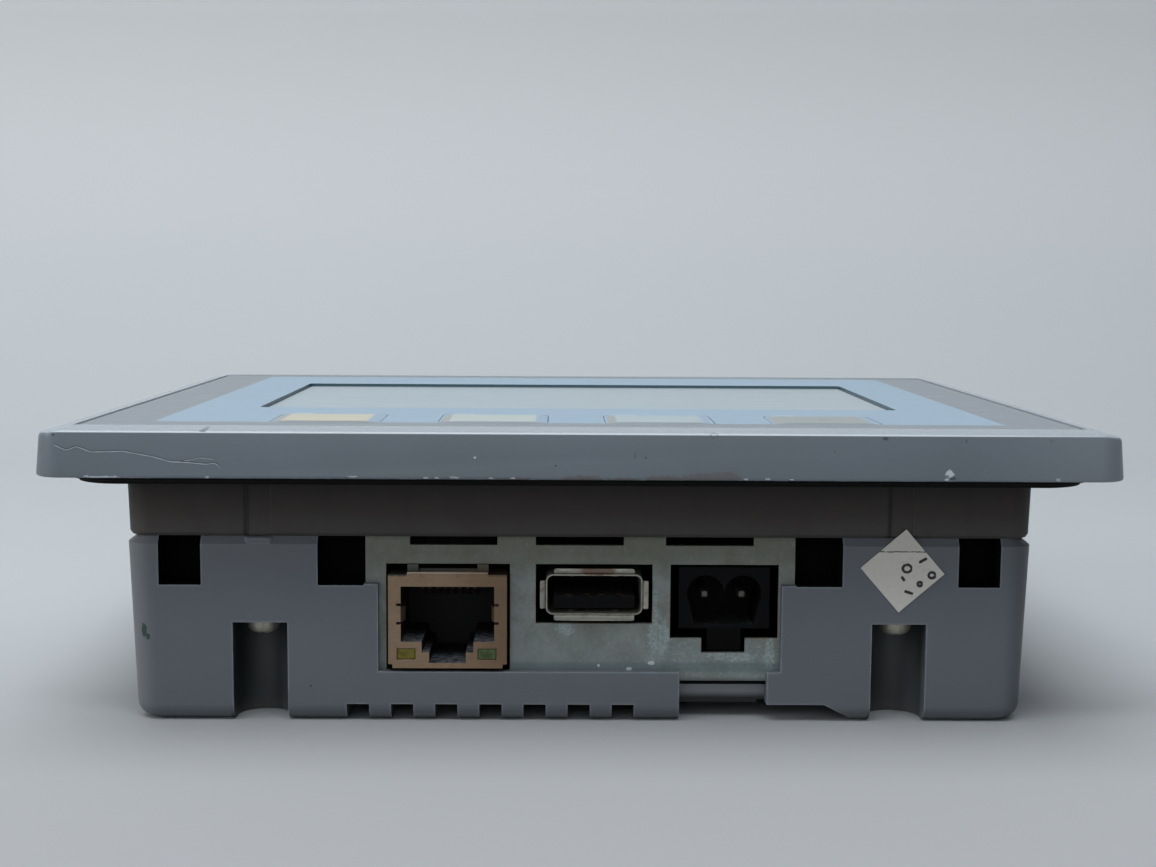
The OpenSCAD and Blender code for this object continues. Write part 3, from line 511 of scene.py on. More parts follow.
def zinc_plate():
    """Zinc sheet: crystals under soft clouds, brown stains, bluish-white bloom, rusty cut edges, and painted
    shade at its top and along its bottom edge.
    """
    color = (0.18, 0.19, 0.17)
    material, shader, place = new_material("zinc_plate", color, 0.5, 0.35)
    axes = split(place)
    x, z = axes["X"], axes["Z"]
    wobble = noise(place, 0.5, 3.0)
    tree = place.id_data
    shift = add(tree, "ShaderNodeCombineXYZ", {"X": wobble, "Y": wobble, "Z": wobble})
    moved = add(tree, "ShaderNodeVectorMath", {0: place, 1: shift.outputs[0]}, operation="ADD")
    flakes = add(tree, "ShaderNodeTexVoronoi", {"Vector": moved.outputs[0], "Scale": 0.7, "Randomness": 1.0},
                 feature="SMOOTH_F1")
    tone = split(flakes.outputs["Color"])["X"]
    cloud = noise(place, 0.3, 6.0, 0.7)
    shade = blend(step(cloud, 0.3, 0.7), (0.134, 0.150, 0.133), (0.240, 0.268, 0.264))
    shade = laid(shade, tone, (0.21, 0.245, 0.25), 0.3)
    stain = noise(place, 0.16, 5.0, 0.65)
    shade = laid(shade, step(stain, 0.45, 0.7), (0.145, 0.135, 0.10), 0.45)
    low = times(step(z, 15.0, 8.0), 0.35)
    shade = blend(low, shade, (0.155, 0.200, 0.205))
    # Painted shadow: darker and browner towards the top, under the collar.
    high = times(step(z, 18.5, 23.5), 0.72)
    shade = blend(high, shade, (0.104, 0.104, 0.074))
    blue = times(step(x, 3.0, 11.0), step(z, 20.0, 16.0))
    bloom = noise(stretched(place, (1.0, 1.0, 0.7)), 1.2, 8.0, 0.82, 0.3)
    wide = plus(bloom, times(blue, 0.05))
    shade = laid(shade, step(wide, 0.52, 0.74), (0.27, 0.345, 0.36), 0.45)
    fine = noise(place, 3.4, 6.0, 0.75)
    runs = [(9.9, 13.2, 0.7, 5.2), (11.2, 11.5, 0.8, 2.6), (25.6, 8.6, 0.7, 2.8), (-2.0, 12.6, 1.2, 1.0),
            (20.5, 8.8, 3.2, 0.8)]
    streak = ovals(place, runs, 1.2, 2.6)
    streak = times(streak, spread(step(fine, 0.42, 0.58), 0.25, 0.7))
    shade = blend(streak, shade, (0.30, 0.385, 0.40))
    below = times(step(z, 14.0, 10.5), plus(blue, 0.4))
    grains = plus(fine, times(below, 0.035))
    shade = laid(shade, step(grains, 0.60, 0.70), (0.40, 0.47, 0.48), 0.45)
    shade = laid(shade, step(fine, 0.42, 0.32), (0.075, 0.090, 0.080), 0.35)
    band = inside(z, 6.6, 7.9, 0.3)
    shade = laid(shade, band, (0.085, 0.135, 0.150), 0.5)
    blobs = [(6.65, 6.95, 0.42, 0.3), (9.66, 7.85, 0.46, 0.3), (2.5, 7.45, 0.18, 0.2), (3.9, 19.6, 0.12, 0.3)]
    white = ovals(place, blobs, 0.9, 2.6)
    shade = laid(shade, white, (0.52, 0.60, 0.62), 0.8)
    rust = times(edges(place, 0.45), step(noise(place, 0.45, 5.0), 0.40, 0.55))
    rust = times(rust, step(z, 19.5, 18.0))
    shade = laid(shade, rust, (0.26, 0.15, 0.10), 0.8)
    # Painted shade along the plate's bottom edge.
    shade = laid(shade, step(z, 6.1, 5.4), (0.055, 0.062, 0.058), 0.6)
    under = dress(shader, shade, spread(cloud, 0.38, 0.66), tone, 0.006)
    bumped(shader, noise(place, 2.5, 5.0, 0.7), 0.02, under)
    return material


def plated(name, color, roughness=0.3, tarnish=(0.16, 0.10, 0.05), amount=0.5, per_mm=0.8):
    """Plated sheet or pins with drawing lines, tarnish and small pits."""
    material, shader, place = new_material(name, color, roughness, 0.85)
    lines = noise(stretched(place, (1.0, 1.0, 9.0)), 1.5, 3.0)
    shade = blend(lines, tinted(color, 0.82), tinted(color, 1.12))
    spots = noise(place, per_mm, 5.0, 0.7)
    shade = blend(times(step(spots, 0.5, 0.7), amount), shade, tarnish)
    dress(shader, shade, spread(spots, roughness - 0.05, roughness + 0.25), plus(lines, spots), 0.006)
    return material


def socket_steel():
    """The network socket's shell: tan plating, a painted highlight along its front's top edge, tarnish and
    painted shade above it, and painted shade towards its right.
    """
    material = plated("socket_steel", (0.275, 0.198, 0.134), 0.42, (0.15, 0.10, 0.062), 0.35, 0.4)
    shader = shader_of(material)
    place = place_mm(material.node_tree)
    axes = split(place)
    middle, top = (NET_LOW[0] + NET_HIGH[0]) / 2, NET_HIGH[2] + 0.32
    ahead = step(axes["Y"], -48.3, -48.5)
    aside = size_of(minus(axes["X"], middle))
    # Painted highlight along the top edge of the front.
    lit = times(inside(axes["Z"], top + 0.17, top + 0.40, 0.05), ahead)
    add_shade(shader, lit, (0.50, 0.44, 0.37), 0.75)
    # Top corners: tarnish, and painted shade under the plate's edge.
    ragged = plus(axes["Z"], times(noise(place, 1.8, 3.0), 0.5))
    corner = times(step(ragged, top - 0.05, top + 0.1), step(aside, 5.45, 5.55))
    add_shade(shader, corner, (0.045, 0.060, 0.060), 0.85)
    # Painted shade on the shell's top behind its front, partly tarnish.
    back = times(step(axes["Z"], top + 0.05, top + 0.1), minus(0.9, ahead, True))
    add_shade(shader, back, (0.075, 0.090, 0.088))
    # Painted shade: darker towards the right.
    right = times(step(axes["X"], -19.0, -9.8), 0.62)
    add_shade(shader, right, (0.135, 0.085, 0.052))
    low = times(step(axes["Z"], 9.0, 7.4), 0.2)
    add_shade(shader, low, (0.30, 0.20, 0.12))
    return material


def usb_steel():
    """The serial socket's shell: pale plating with a rusty patch in the middle of its top lip, painted
    highlights on its lips and painted shade on its lower lip.
    """
    material = plated("usb_steel", (0.33, 0.32, 0.28), 0.36, (0.10, 0.085, 0.07), 0.55, 0.9)
    shader = shader_of(material)
    place = place_mm(material.node_tree)
    rust = ovals(place, [(2.4, USB_HIGH[2] + 0.9, 2.6, 0.8)], 0.5, 1.6)
    add_shade(shader, rust, (0.16, 0.085, 0.055), 0.75)
    # Painted shade on the lower lip.
    low = times(step(split(place)["Z"], USB_LOW[2] - 0.3, USB_LOW[2] - 0.7), 0.75)
    add_shade(shader, low, (0.17, 0.185, 0.165))
    # Painted highlights on the flared lips.
    lips = [(-2.0, USB_HIGH[2] + 1.2, 1.4, 0.4), (5.6, USB_HIGH[2] + 1.2, 1.3, 0.4),
            (2.0, USB_LOW[2] - 1.1, 4.2, 0.12)]
    painted_highlight = ovals(place, lips, 1.0, 2.2)
    add_shade(shader, painted_highlight, (0.56, 0.55, 0.49), 0.6)
    return material


def black_plastic(name, color, roughness=0.5, dust=0.25, gloss=0.18, dust_and_light_color=(0.075, 0.08, 0.085),
                  dust_and_light_depth=40.0, key_shadow=0.0):
    material, shader, place = new_material(name, color, roughness, Specular_IOR_Level=gloss)
    cloud = noise(place, 1.1, 5.0, 0.65)
    shade = blend(cloud, tinted(color, 0.7), tinted(color, 1.4))
    # Dust on upward faces near the front; in the network socket this is also painted light on the ledges by
    # its mouth.
    dusty = times(upward(place), step(cloud, 0.35, 0.7))
    reach = step(split(place)["Y"], -BODY_Y + dust_and_light_depth, -BODY_Y + dust_and_light_depth * 0.3)
    dusty = times(dusty, reach)
    shade = blend(times(dusty, dust), shade, dust_and_light_color)
    worn = times(edges(place, 0.15), 0.35)
    shade = blend(worn, shade, tinted(color, 2.5))
    sunk = times(step(split(place)["Z"], 12.7, 12.1), key_shadow)
    shade = blend(sunk, shade, (0.001, 0.001, 0.001))
    dress(shader, shade, spread(cloud, roughness - 0.08, roughness + 0.2), noise(place, 6.0, 2.0), 0.006)
    return material


def lens(name, color, glow):
    """A dull coloured lamp lens with a lighter core."""
    material, shader, place = new_material(name, color, 0.3, Specular_IOR_Level=0.3)
    haze = noise(place, 1.3, 3.0)
    shade = blend(step(haze, 0.40, 0.60), color, glow)
    dress(shader, shade, spread(haze, 0.25, 0.45), haze, 0.01)
    return material


def paper_sticker():
    """A soiled paper seal with a fine dotted crack below the joint and darker paper above the crack."""
    color = (0.545, 0.532, 0.495)
    material, shader, place = new_material("sticker_paper", color, 0.7, Specular_IOR_Level=0.25)
    fibre = noise(place, 2.2, 6.0, 0.7)
    shade = blend(fibre, tinted(color, 0.86), tinted(color, 1.1))
    dirt = noise(place, 0.8, 6.0, 0.75, 0.4)
    z = split(place)["Z"]
    crack_z = Z_JOINT - 1.75
    # Darker paper above the crack.
    over = times(step(z, crack_z, crack_z + 0.3), 0.45)
    shade = blend(over, shade, (0.46, 0.45, 0.42))
    shade = laid(shade, step(dirt, 0.56, 0.74), (0.17, 0.15, 0.12), 0.5)
    rough_z = plus(z, times(dirt, 0.35))
    crease = inside(rough_z, crack_z + 0.10, crack_z + 0.26, 0.08)
    shade = blend(times(crease, step(fibre, 0.4, 0.5)), shade, (0.05, 0.045, 0.04))
    dress(shader, shade, spread(fibre, 0.6, 0.85), fibre, 0.02)
    return material


def ink():
    """Worn stamp ink with patches that are nearly gone."""
    material, shader, place = new_material("stamp_ink", (0.02, 0.02, 0.025), 0.6)
    faded = step(noise(place, 3.0, 5.0), 0.55, 0.75)
    drive(shader, "Base Color", blend(faded, (0.015, 0.015, 0.02), (0.12, 0.115, 0.11)))
    return material


def circuit_board():
    """Green solder mask with the tracks under it."""
    color = (0.012, 0.075, 0.032)
    material, shader, place = new_material("circuit_board", color, 0.3, Coat_Weight=0.2)
    tracks = add(place.id_data, "ShaderNodeTexBrick", {
        "Vector": stretched(place, (0.35, 0.35, 0.35)), "Color1": rgb(color), "Color2": rgb(color),
        "Mortar": rgb((0.03, 0.14, 0.06)), "Scale": 1.0, "Mortar Size": 0.08})
    cloud = noise(place, 0.3, 4.0)
    drive(shader, "Base Color", blend(times(cloud, 0.5), tracks.outputs["Color"], tinted(color, 0.6)))
    drive(shader, "Roughness", spread(cloud, 0.22, 0.42))
    bumped(shader, tracks.outputs["Fac"], 0.02)
    return material


def plain(name, color, roughness, metallic=0.0, per_mm=1.2, depth=0.01):
    """A simple surface with cloudy colour, uneven gloss and a fine bump, for pieces inside."""
    material, shader, place = new_material(name, color, roughness, metallic)
    cloud = noise(place, per_mm, 4.0)
    drive(shader, "Base Color", blend(cloud, tinted(color, 0.8), tinted(color, 1.15)))
    drive(shader, "Roughness", spread(cloud, max(0.05, roughness - 0.1), roughness + 0.1))
    bumped(shader, noise(place, per_mm * 4, 2.0), depth)
    return material


# ---------------------------------------------------------------- meshes


def link(name, mesh, material):
    made = bpy.data.objects.new(name, mesh)
    bpy.context.scene.collection.objects.link(made)
    made.data.materials.clear()
    if material is not None:
        made.data.materials.append(material)
    return made


def smooth(mesh, degrees=32):
    for face in mesh.polygons:
        face.use_smooth = True
    mesh.set_sharp_from_angle(angle=math.radians(degrees))


def tidy(mesh, flat_degrees=0.8):
    """Joins doubled points, dissolves flat ground and turns faces outwards."""
    work = bmesh.new()
    work.from_mesh(mesh)
    bmesh.ops.remove_doubles(work, verts=work.verts, dist=2e-6)
    bmesh.ops.dissolve_degenerate(work, edges=work.edges, dist=1e-6)
    bmesh.ops.dissolve_limit(work, angle_limit=math.radians(flat_degrees), verts=work.verts, edges=work.edges)
    bmesh.ops.recalc_face_normals(work, faces=work.faces)
    work.to_mesh(mesh)
    work.free()
    mesh.update()


def from_points(name, points, faces, material=None):
    """A mesh from points in millimetres."""
    mesh = bpy.data.meshes.new(name)
    mesh.from_pydata([Vector(p) * MM for p in points], [], faces)
    work = bmesh.new()
    work.from_mesh(mesh)
    bmesh.ops.recalc_face_normals(work, faces=work.faces)
    work.to_mesh(mesh)
    work.free()
    smooth(mesh)
    return link(name, mesh, material)


def loft(name, loops, material=None, ends=True, closed=False):
    """Joins loops of equally many points with quads; closed joins the last to the first."""
    count = len(loops[0])
    points = [p for loop in loops for p in loop]
    faces = []
    rows = len(loops) if closed else len(loops) - 1
    for row in range(rows):
        a = row * count
        b = ((row + 1) % len(loops)) * count
        for k in range(count):
            n = (k + 1) % count
            faces.append((a + k, a + n, b + n, b + k))
    if ends and not closed:
        faces.append(tuple(range(count - 1, -1, -1)))
        faces.append(tuple(range((len(loops) - 1) * count, len(loops) * count)))
    return from_points(name, points, faces, material)


def rounded(half_w, half_h, radius, steps=8, centre=(0.0, 0.0)):
    """A rounded rectangle's points in 2D, anticlockwise."""
    points = []
    for sx, sy, start in ((1, -1, -90), (1, 1, 0), (-1, 1, 90), (-1, -1, 180)):
        for k in range(steps + 1):
            turn = math.radians(start + 90 * k / steps)
            points.append((centre[0] + sx * (half_w - radius) + radius * math.cos(turn),
                           centre[1] + sy * (half_h - radius) + radius * math.sin(turn)))
    return points


def circle(x, y, radius, z, degrees=10, stretch=1.0):
    """A level circle's points, one every so many degrees; stretch makes it longer in Y."""
    turns = [math.radians(a) for a in range(0, 360, degrees)]
    return [(x + radius * math.cos(a), y + stretch * radius * math.sin(a), z) for a in turns]


def level(points, z):
    return [(x, y, z) for x, y in points]


def upright(points, y):
    """A 2D outline in X and Z, placed at y."""
    return [(x, y, z) for x, z in points]


def boolean(target, other, operation, overlaps=False):
    """Applies a boolean and removes the other object; overlaps says that its parts cross each other."""
    cut = target.modifiers.new("boolean", "BOOLEAN")
    cut.operation = operation
    cut.solver = "EXACT"
    cut.object = other
    cut.use_self = overlaps
    graph = bpy.context.evaluated_depsgraph_get()
    mesh = bpy.data.meshes.new_from_object(target.evaluated_get(graph))
    target.modifiers.clear()
    target.data = mesh
    bpy.data.objects.remove(other)
    return target


def shade_pockets(piece, black):
    """Gives the faces inside the clamp recesses a second, near-black material that paints their shade."""
    piece.data.materials.append(black)
    for face in piece.data.polygons:
        x, y, z = (abs(c) / MM for c in face.center)
        across = any(low < x < high for low, high in RECESS_X)
        deep = BODY_Y - RECESS_DEPTH[1] < y < BODY_Y - RECESS_DEPTH[0]
        if across and deep and RECESS_Z[0] < z < RECESS_Z[1]:
            face.material_index = 1
    return piece


def joined(name, objects):
    """One object that holds the meshes of several."""
    work = bmesh.new()
    for item in objects:
        work.from_mesh(item.data)
    mesh = bpy.data.meshes.new(name)
    work.to_mesh(mesh)
    work.free()
    for item in objects:
        bpy.data.objects.remove(item)
    return link(name, mesh, None)


def bar(name, x, y, z):
    """A box between three ranges, in millimetres, for cutting with."""
    points = [(a, b, c) for c in z for b in y for a in x]
    faces = [(0, 2, 3, 1), (4, 5, 7, 6), (0, 1, 5, 4), (2, 6, 7, 3), (0, 4, 6, 2), (1, 3, 7, 5)]
    return from_points(name, points, faces)


def cad_copy(node, name):
    """A clean copy of a CAD node's mesh, to be shaped further."""
    mesh = NODES[node].data.copy()
    made = link(name, mesh, None)
    if mesh.has_custom_normals:
        with bpy.context.temp_override(object=made, active_object=made, selected_editable_objects=[made]):
            bpy.ops.mesh.customdata_custom_splitnormals_clear()
    tidy(mesh)
    return made


def soften(piece, width, segments=2, degrees=32):
    """Rounds the piece's sharp edges by width millimetres."""
    made = piece.modifiers.new("edge", "BEVEL")
    made.width = width * MM
    made.segments = segments
    made.limit_method = "ANGLE"
    made.angle_limit = math.radians(degrees)
    made.harden_normals = True
    made.use_clamp_overlap = True
    return piece


def assign(piece, material, node=None, body=ROOT):
    """Gives a finished piece its material, body and slot; node is the CAD node it stands for."""
    piece.data.materials.clear()
    piece.data.materials.append(material)
    for face in piece.data.polygons:
        face.material_index = 0
    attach(piece, body)
    if node:
        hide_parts(node)
    return piece


def finish_cad(node, material, width=0.15, segments=2, name=None):
    """The CAD node's own shape with clean faces and softened edges."""
    piece = cad_copy(node, name or node + "_piece")
    smooth(piece.data)
    if width:
        soften(piece, width, segments)
    return assign(piece, material, node)


# ---------------------------------------------------------------- pieces


def chips_along_edge():
    """Bites in the bezel's lower front edge and small random knocks, as one cutting object."""
    draw = random.Random(11)
    spots = list(BITES)
    x = -BEZEL_X + 6
    while x < BEZEL_X - 6:
        spots.append((x, draw.uniform(0.12, 0.3)))
        x += draw.uniform(1.6, 6.5)
    cutters = []
    for x, size in spots:
        mesh = bpy.data.meshes.new("chip")
        work = bmesh.new()
        bmesh.ops.create_icosphere(work, subdivisions=2, radius=1.0)
        for vert in work.verts:
            jag = 1 + draw.uniform(-0.22, 0.22)
            vert.co = Vector((x + vert.co.x * size * 1.1 * jag,
                              -BEZEL_Y + vert.co.y * (0.10 + 0.26 * size) * jag,
                              Z_BEZEL + vert.co.z * (0.06 + 0.42 * size) * jag)) * MM
        work.to_mesh(mesh)
        work.free()
        cutters.append(link("chip", mesh, None))
    return joined("chips", cutters)


def bite_size(size):
    """Half width and half height of a bite in the bezel's lower edge."""
    return 1.1 * size, 0.06 + 0.42 * size


def rim_inset(z, width, drop, draft, edge_r):
    """How far the bezel's outside lies in from its widest outline at height z."""
    edge = Z_FRONT - drop - edge_r
    if z <= edge:
        return draft * max(0.0, (z - Z_BEZEL - 0.4) / (edge - Z_BEZEL - 0.4))
    if z <= edge + edge_r:
        rise = (z - edge) / edge_r
        return draft + edge_r * (1 - math.sqrt(max(0.0, 1 - rise * rise)))
    return draft + edge_r + (width - draft - edge_r) * (z - edge - edge_r) / drop


def front_housing(material):
    """The bezel: the CAD inside, within a drafted outside whose rim falls away to a rounded edge."""
    bx, by = BEZEL_X - HAIR, BEZEL_Y - HAIR
    loops = [level(rounded(bx - 0.28, by - 0.28, BEZEL_R - 0.3), Z_BEZEL - 0.01),
             level(rounded(bx - 0.06, by - 0.06, BEZEL_R - 0.1), Z_BEZEL + 0.12)]
    heights = {Z_BEZEL + 0.4, Z_FRONT + 0.01}
    for _, drop, _, edge_r in (SIDE_RIM, END_RIM):
        for k in range(7):
            heights.add(Z_FRONT - drop - edge_r + edge_r * math.sin(math.radians(15 * k)))
    for z in sorted(heights):
        in_x = rim_inset(min(z, Z_FRONT), *SIDE_RIM)
        in_y = rim_inset(min(z, Z_FRONT), *END_RIM)
        loops.append(level(rounded(bx - in_x, by - in_y, max(1.0, BEZEL_R - max(in_x, in_y))), z))
    outside = loft("bezel_outside", loops)
    piece = cad_copy("front_housing", "front_housing_piece")
    boolean(piece, outside, "INTERSECT")
    boolean(piece, chips_along_edge(), "DIFFERENCE", True)
    tidy(piece.data, 0.4)
    smooth(piece.data, 24)
    soften(piece, 0.04, 2, 40)
    return assign(piece, material, "front_housing")


def housing_collar(material, painted_pocket_shade):
    """The collar behind the bezel: the CAD within an outside that is chamfered at the joint."""
    x, y = BODY_X - HAIR, BODY_Y - HAIR
    outside = loft("collar_outside", [
        level(rounded(x - 0.6, y - 0.5, 3.0), COLLAR_LOW[2] - 0.01),
        level(rounded(x - 0.3, y, 3.5), COLLAR_LOW[2] + 0.45),
        level(rounded(x, y, 3.5), COLLAR_HIGH[2] + 0.01)])
    piece = cad_copy("housing_collar", "housing_collar_piece")
    boolean(piece, outside, "INTERSECT")
    tidy(piece.data, 0.4)
    smooth(piece.data)
    soften(piece, 0.1, 2)
    assign(piece, material, "housing_collar")
    return shade_pockets(piece, painted_pocket_shade)


def rear_cover(material, painted_pocket_shade):
    """Rear cover: the CAD inside, within a drafted outside with rolled rear edges."""
    side_draft, end_draft = 1.0, 0.3
    roll = 2.3
    loops = []
    for k in range(7):
        turn = math.radians(15 * k)
        z = roll * (1 - math.cos(turn)) - (0.01 if k == 0 else 0)
        inset = HAIR + roll * (1 - math.sin(turn))
        rise = 1 - z / Z_JOINT
        in_x, in_y = inset + side_draft * rise, inset + end_draft * rise
        loops.append(level(rounded(BODY_X - in_x, BODY_Y - in_y, max(1.2, 3.5 - 0.6 * in_y)), z))
    loops.append(level(rounded(BODY_X - HAIR - 0.05, BODY_Y - HAIR, 3.5), Z_JOINT - 1.1))
    loops.append(level(rounded(BODY_X - 1.5, BODY_Y - 0.75, 2.6), Z_JOINT + 0.01))
    outside = loft("cover_outside", loops)
    piece = cad_copy("rear_cover", "rear_cover_piece")
    boolean(piece, outside, "INTERSECT")
    tidy(piece.data, 0.4)
    smooth(piece.data)
    soften(piece, 0.22, 3)
    assign(piece, material, "rear_cover")
    return shade_pockets(piece, painted_pocket_shade)


def cover_boss(material):
    """The little raised lug on the cover's joint chamfer."""
    x, z = -43.0, Z_JOINT - 0.68
    rings = ((1.85, 0.56, 0.3, 1.1), (1.85, 0.56, 0.3, 0.3), (1.55, 0.36, 0.2, 0.06))
    loops = [upright(rounded(half_w, half_h, radius, 4, (x, z)), -BODY_Y + depth)
             for half_w, half_h, radius, depth in rings]
    piece = loft("joint_lug", loops)
    return assign(piece, material)


def front_foil():
    """Printed foil, a little smaller than its recess, with openings for the window and keys."""
    material = foil_skin("front_foil_print", [(BLUE_X, BLUE_Y, FOIL_BLUE)])
    gap, key_gap = 0.3, 0.1
    through = (FOIL_LOW[2] - 1, Z_FOIL + 1)
    x, y0, y1 = FOIL_HIGH[0] - gap, FOIL_LOW[1] + gap, FOIL_HIGH[1] - gap
    half_h, middle = (y1 - y0) / 2, (y0 + y1) / 2
    outline = rounded(x, half_h, 1.2, 6, (0, middle))
    inner = rounded(x - 0.1, half_h - 0.1, 1.1, 6, (0, middle))
    loops = [level(outline, FOIL_LOW[2]), level(outline, Z_FOIL - 0.08), level(inner, Z_FOIL)]
    piece = loft("front_foil_piece", loops)
    window_middle = (0, (WINDOW_Y[0] + WINDOW_Y[1]) / 2)
    window = rounded(WINDOW_X, (WINDOW_Y[1] - WINDOW_Y[0]) / 2, 0.8, 5, window_middle)
    boolean(piece, loft("window_cut", [level(window, z) for z in through]), "DIFFERENCE")
    cutters = []
    for low, high in map(low_high, KEYS):
        centre = ((low[0] + high[0]) / 2, (low[1] + high[1]) / 2)
        half_w, half_h = (high[0] - low[0]) / 2, (high[1] - low[1]) / 2
        outline = rounded(half_w + key_gap, half_h + key_gap, 2.3, 6, centre)
        cutters.append(loft("key_cut", [level(outline, z) for z in through]))
    boolean(piece, joined("key_cuts", cutters), "DIFFERENCE")
    tidy(piece.data)
    smooth(piece.data)
    return assign(piece, material, "front_foil")


def key_skin(index, low, high):
    """A key's print: the blue ground, its cream field and a grey strip at the field's left, with a painted
    highlight above the field's top-left corner.
    """
    cx = (low[0] + high[0]) / 2
    y = (BLUE_Y[0], -34.6)
    left, right = cx - 5.9, cx + 5.8
    wide = (low[0] - 1, high[0] + 1)
    zones = [(wide, (BLUE_Y[0], high[1] + 1), FOIL_BLUE),
             ((left - 1.2, left), y, (0.235, 0.255, 0.25)),
             ((left, right), y, KEY_FIELDS[index]),
             # Painted highlight on the embossed rim above the field's top-left corner.
             ((left + 0.2, left + 2.9), (y[1] + 0.35, y[1] + 0.85), (0.42, 0.47, 0.50))]
    if index == 3:
        zones.append(((cx - 0.6, cx + 1.4), (-40.4, -38.8), (0.185, 0.20, 0.18)))
    return foil_skin(KEYS[index] + "_print", zones, shade_cut_edges=False)


def function_key(index):
    """A softly domed key with rounded shoulders and a plunger below."""
    node = KEYS[index]
    low, high = low_high(node)
    cx, cy = (low[0] + high[0]) / 2, (low[1] + high[1]) / 2
    hw, hh, top = (high[0] - low[0]) / 2, (high[1] - low[1]) / 2, high[2]
    film = 0.6
    rim = [(0.0, -film), (0.0, -0.26), (0.15, -0.24), (0.5, -0.18), (1.0, -0.08), (1.6, -0.02), (2.2, 0.0),
           (3.0, -0.03)]
    loops = [level(rounded(hw - d, hh - d, max(0.5, 2.2 - 0.5 * d), 6, (cx, cy)), top + dz) for d, dz in rim]
    piece = loft(node + "_piece", loops)
    turned = [circle(cx, cy, r, z)
              for r, z in ((2.2, low[2]), (2.45, low[2] + 0.2), (2.5, top - film + 0.05))]
    boolean(piece, loft("plunger", turned), "UNION")
    smooth(piece.data, 40)
    return assign(piece, key_skin(index, low, high), node, f"key_{index + 1}")


def usb_shell(material):
    """Drawn steel shell with rounded corners, flared lips and spring dimples."""
    low, high = low_high("usb_shell")
    x = (USB_LOW[0] + USB_HIGH[0]) / 2
    z = (USB_LOW[2] + USB_HIGH[2]) / 2
    hw, hh = 6.55, 2.8
    sheet = 0.3
    front, back = low[1] + 0.35, high[1]

    def ring(shrink, y, radius):
        return upright(rounded(hw - shrink, hh - shrink, radius, 6, (x, z)), y)

    piece = loft("usb_shell_piece", [
        ring(0.15, back, 0.9), ring(0, back - 0.15, 1.0), ring(0, front + 0.2, 1.0), ring(0.06, front, 0.95),
        ring(0.22, front - 0.02, 0.85), ring(sheet, front + 0.12, 0.75), ring(sheet, back - sheet, 0.7)])
    parts = []
    for across, height, length in ((hw, 0, 3.8), (0, hh, 10.8)):
        for side in (-1, 1):
            parts.append(flared_lip("lip", x, z, across, height, length, side, front))
    for dx in (-2.95, 2.95):
        for side in (-1, 1):
            dimple = [circle(x + dx, front + 2.2, r, z + side * (hh - sheet - d), 20, 1.6)
                      for r, d in ((0.75, -0.05), (0.6, 0.18), (0.3, 0.36), (0.08, 0.4))]
            parts.append(loft("dimple", dimple))
    piece = joined("usb_shell_piece", [piece] + parts)
    smooth(piece.data, 40)
    return assign(piece, material, "usb_shell")


def flared_lip(name, x, z, across, height, length, side, front):
    """A lip that curls outwards from the shell's mouth, on a side or on the top or bottom."""
    reach, sheet = 0.78, 0.26
    outer, inner = [], []
    for k in range(7):
        turn = math.radians(15 * k)
        outer.append((reach * (1 - math.cos(turn)), -reach * math.sin(turn) * 0.55))
        inner.append((sheet * 0.2 + (reach - sheet) * (1 - math.cos(turn)) + sheet * math.sin(turn) * 0.5,
                      sheet - reach * math.sin(turn) * 0.55 + 0.02))
    profile = outer + inner[::-1]
    half = length / 2
    loops = []
    for s in (-1, -0.96, 0.96, 1):
        loop = []
        for out, dy in profile:
            out *= 0.8 if abs(s) == 1 else 1.0
            if across:
                loop.append((x + side * (across - 0.05 + out), front + 0.3 + dy, z + s * half))
            else:
                loop.append((x + s * half, front + 0.3 + dy, z + side * (height - 0.05 + out)))
        loops.append(loop)
    return loft(name, loops)


def network_shell(material):
    """Socket shell with notched lower corners, a rolled top edge, a lid behind it and side springs."""
    low, high = low_high("network_shell")
    low_z, top = low[2], NET_HIGH[2] + 0.32
    piece = cad_copy("network_shell", "network_shell_piece")
    cuts = [bar("cut", (x - 0.55, x + 0.55), (low[1] - 1, low[1] + 3), (low_z - 1, low_z + 0.55))
            for x in (low[0], high[0])]
    boolean(piece, joined("cuts", cuts), "DIFFERENCE")
    tidy(piece.data)
    smooth(piece.data)
    soften(piece, 0.1, 2)
    assign(piece, material, "network_shell")
    middle = (low[0] + high[0]) / 2
    section = rounded(0.14, 0.26, 0.12, 4, (low[1] + 0.16, top + 0.09))
    fold = loft("network_shell_fold", [[(middle + s * 5.4, y, z) for y, z in section] for s in (-1, 1)])
    assign(fold, material)
    lid = bar("network_shell_lid", (middle - 3.9, middle + 3.9), (low[1] + 2.0, low[1] + 2.25),
              (top - 0.05, top + 0.5))
    assign(lid, material)
    spring_low, spring_high = 13.55, 15.55
    for side, word in ((-1, "left"), (1, "right")):
        x = middle + side * 6.35
        loops = []
        for sunk, back in ((0.0, 0.4), (0.35, 1.2), (0.55, 2.4), (0.3, 3.8), (0.0, 5.0)):
            y = low[1] + back
            near_x, far_x = x - side * sunk, x - side * (sunk - 0.15)
            loops.append([(near_x, y, spring_low), (near_x, y, spring_high),
                          (far_x, y, spring_high), (far_x, y, spring_low)])
        spring = loft("network_shell_spring_" + word, loops)
        assign(spring, material)


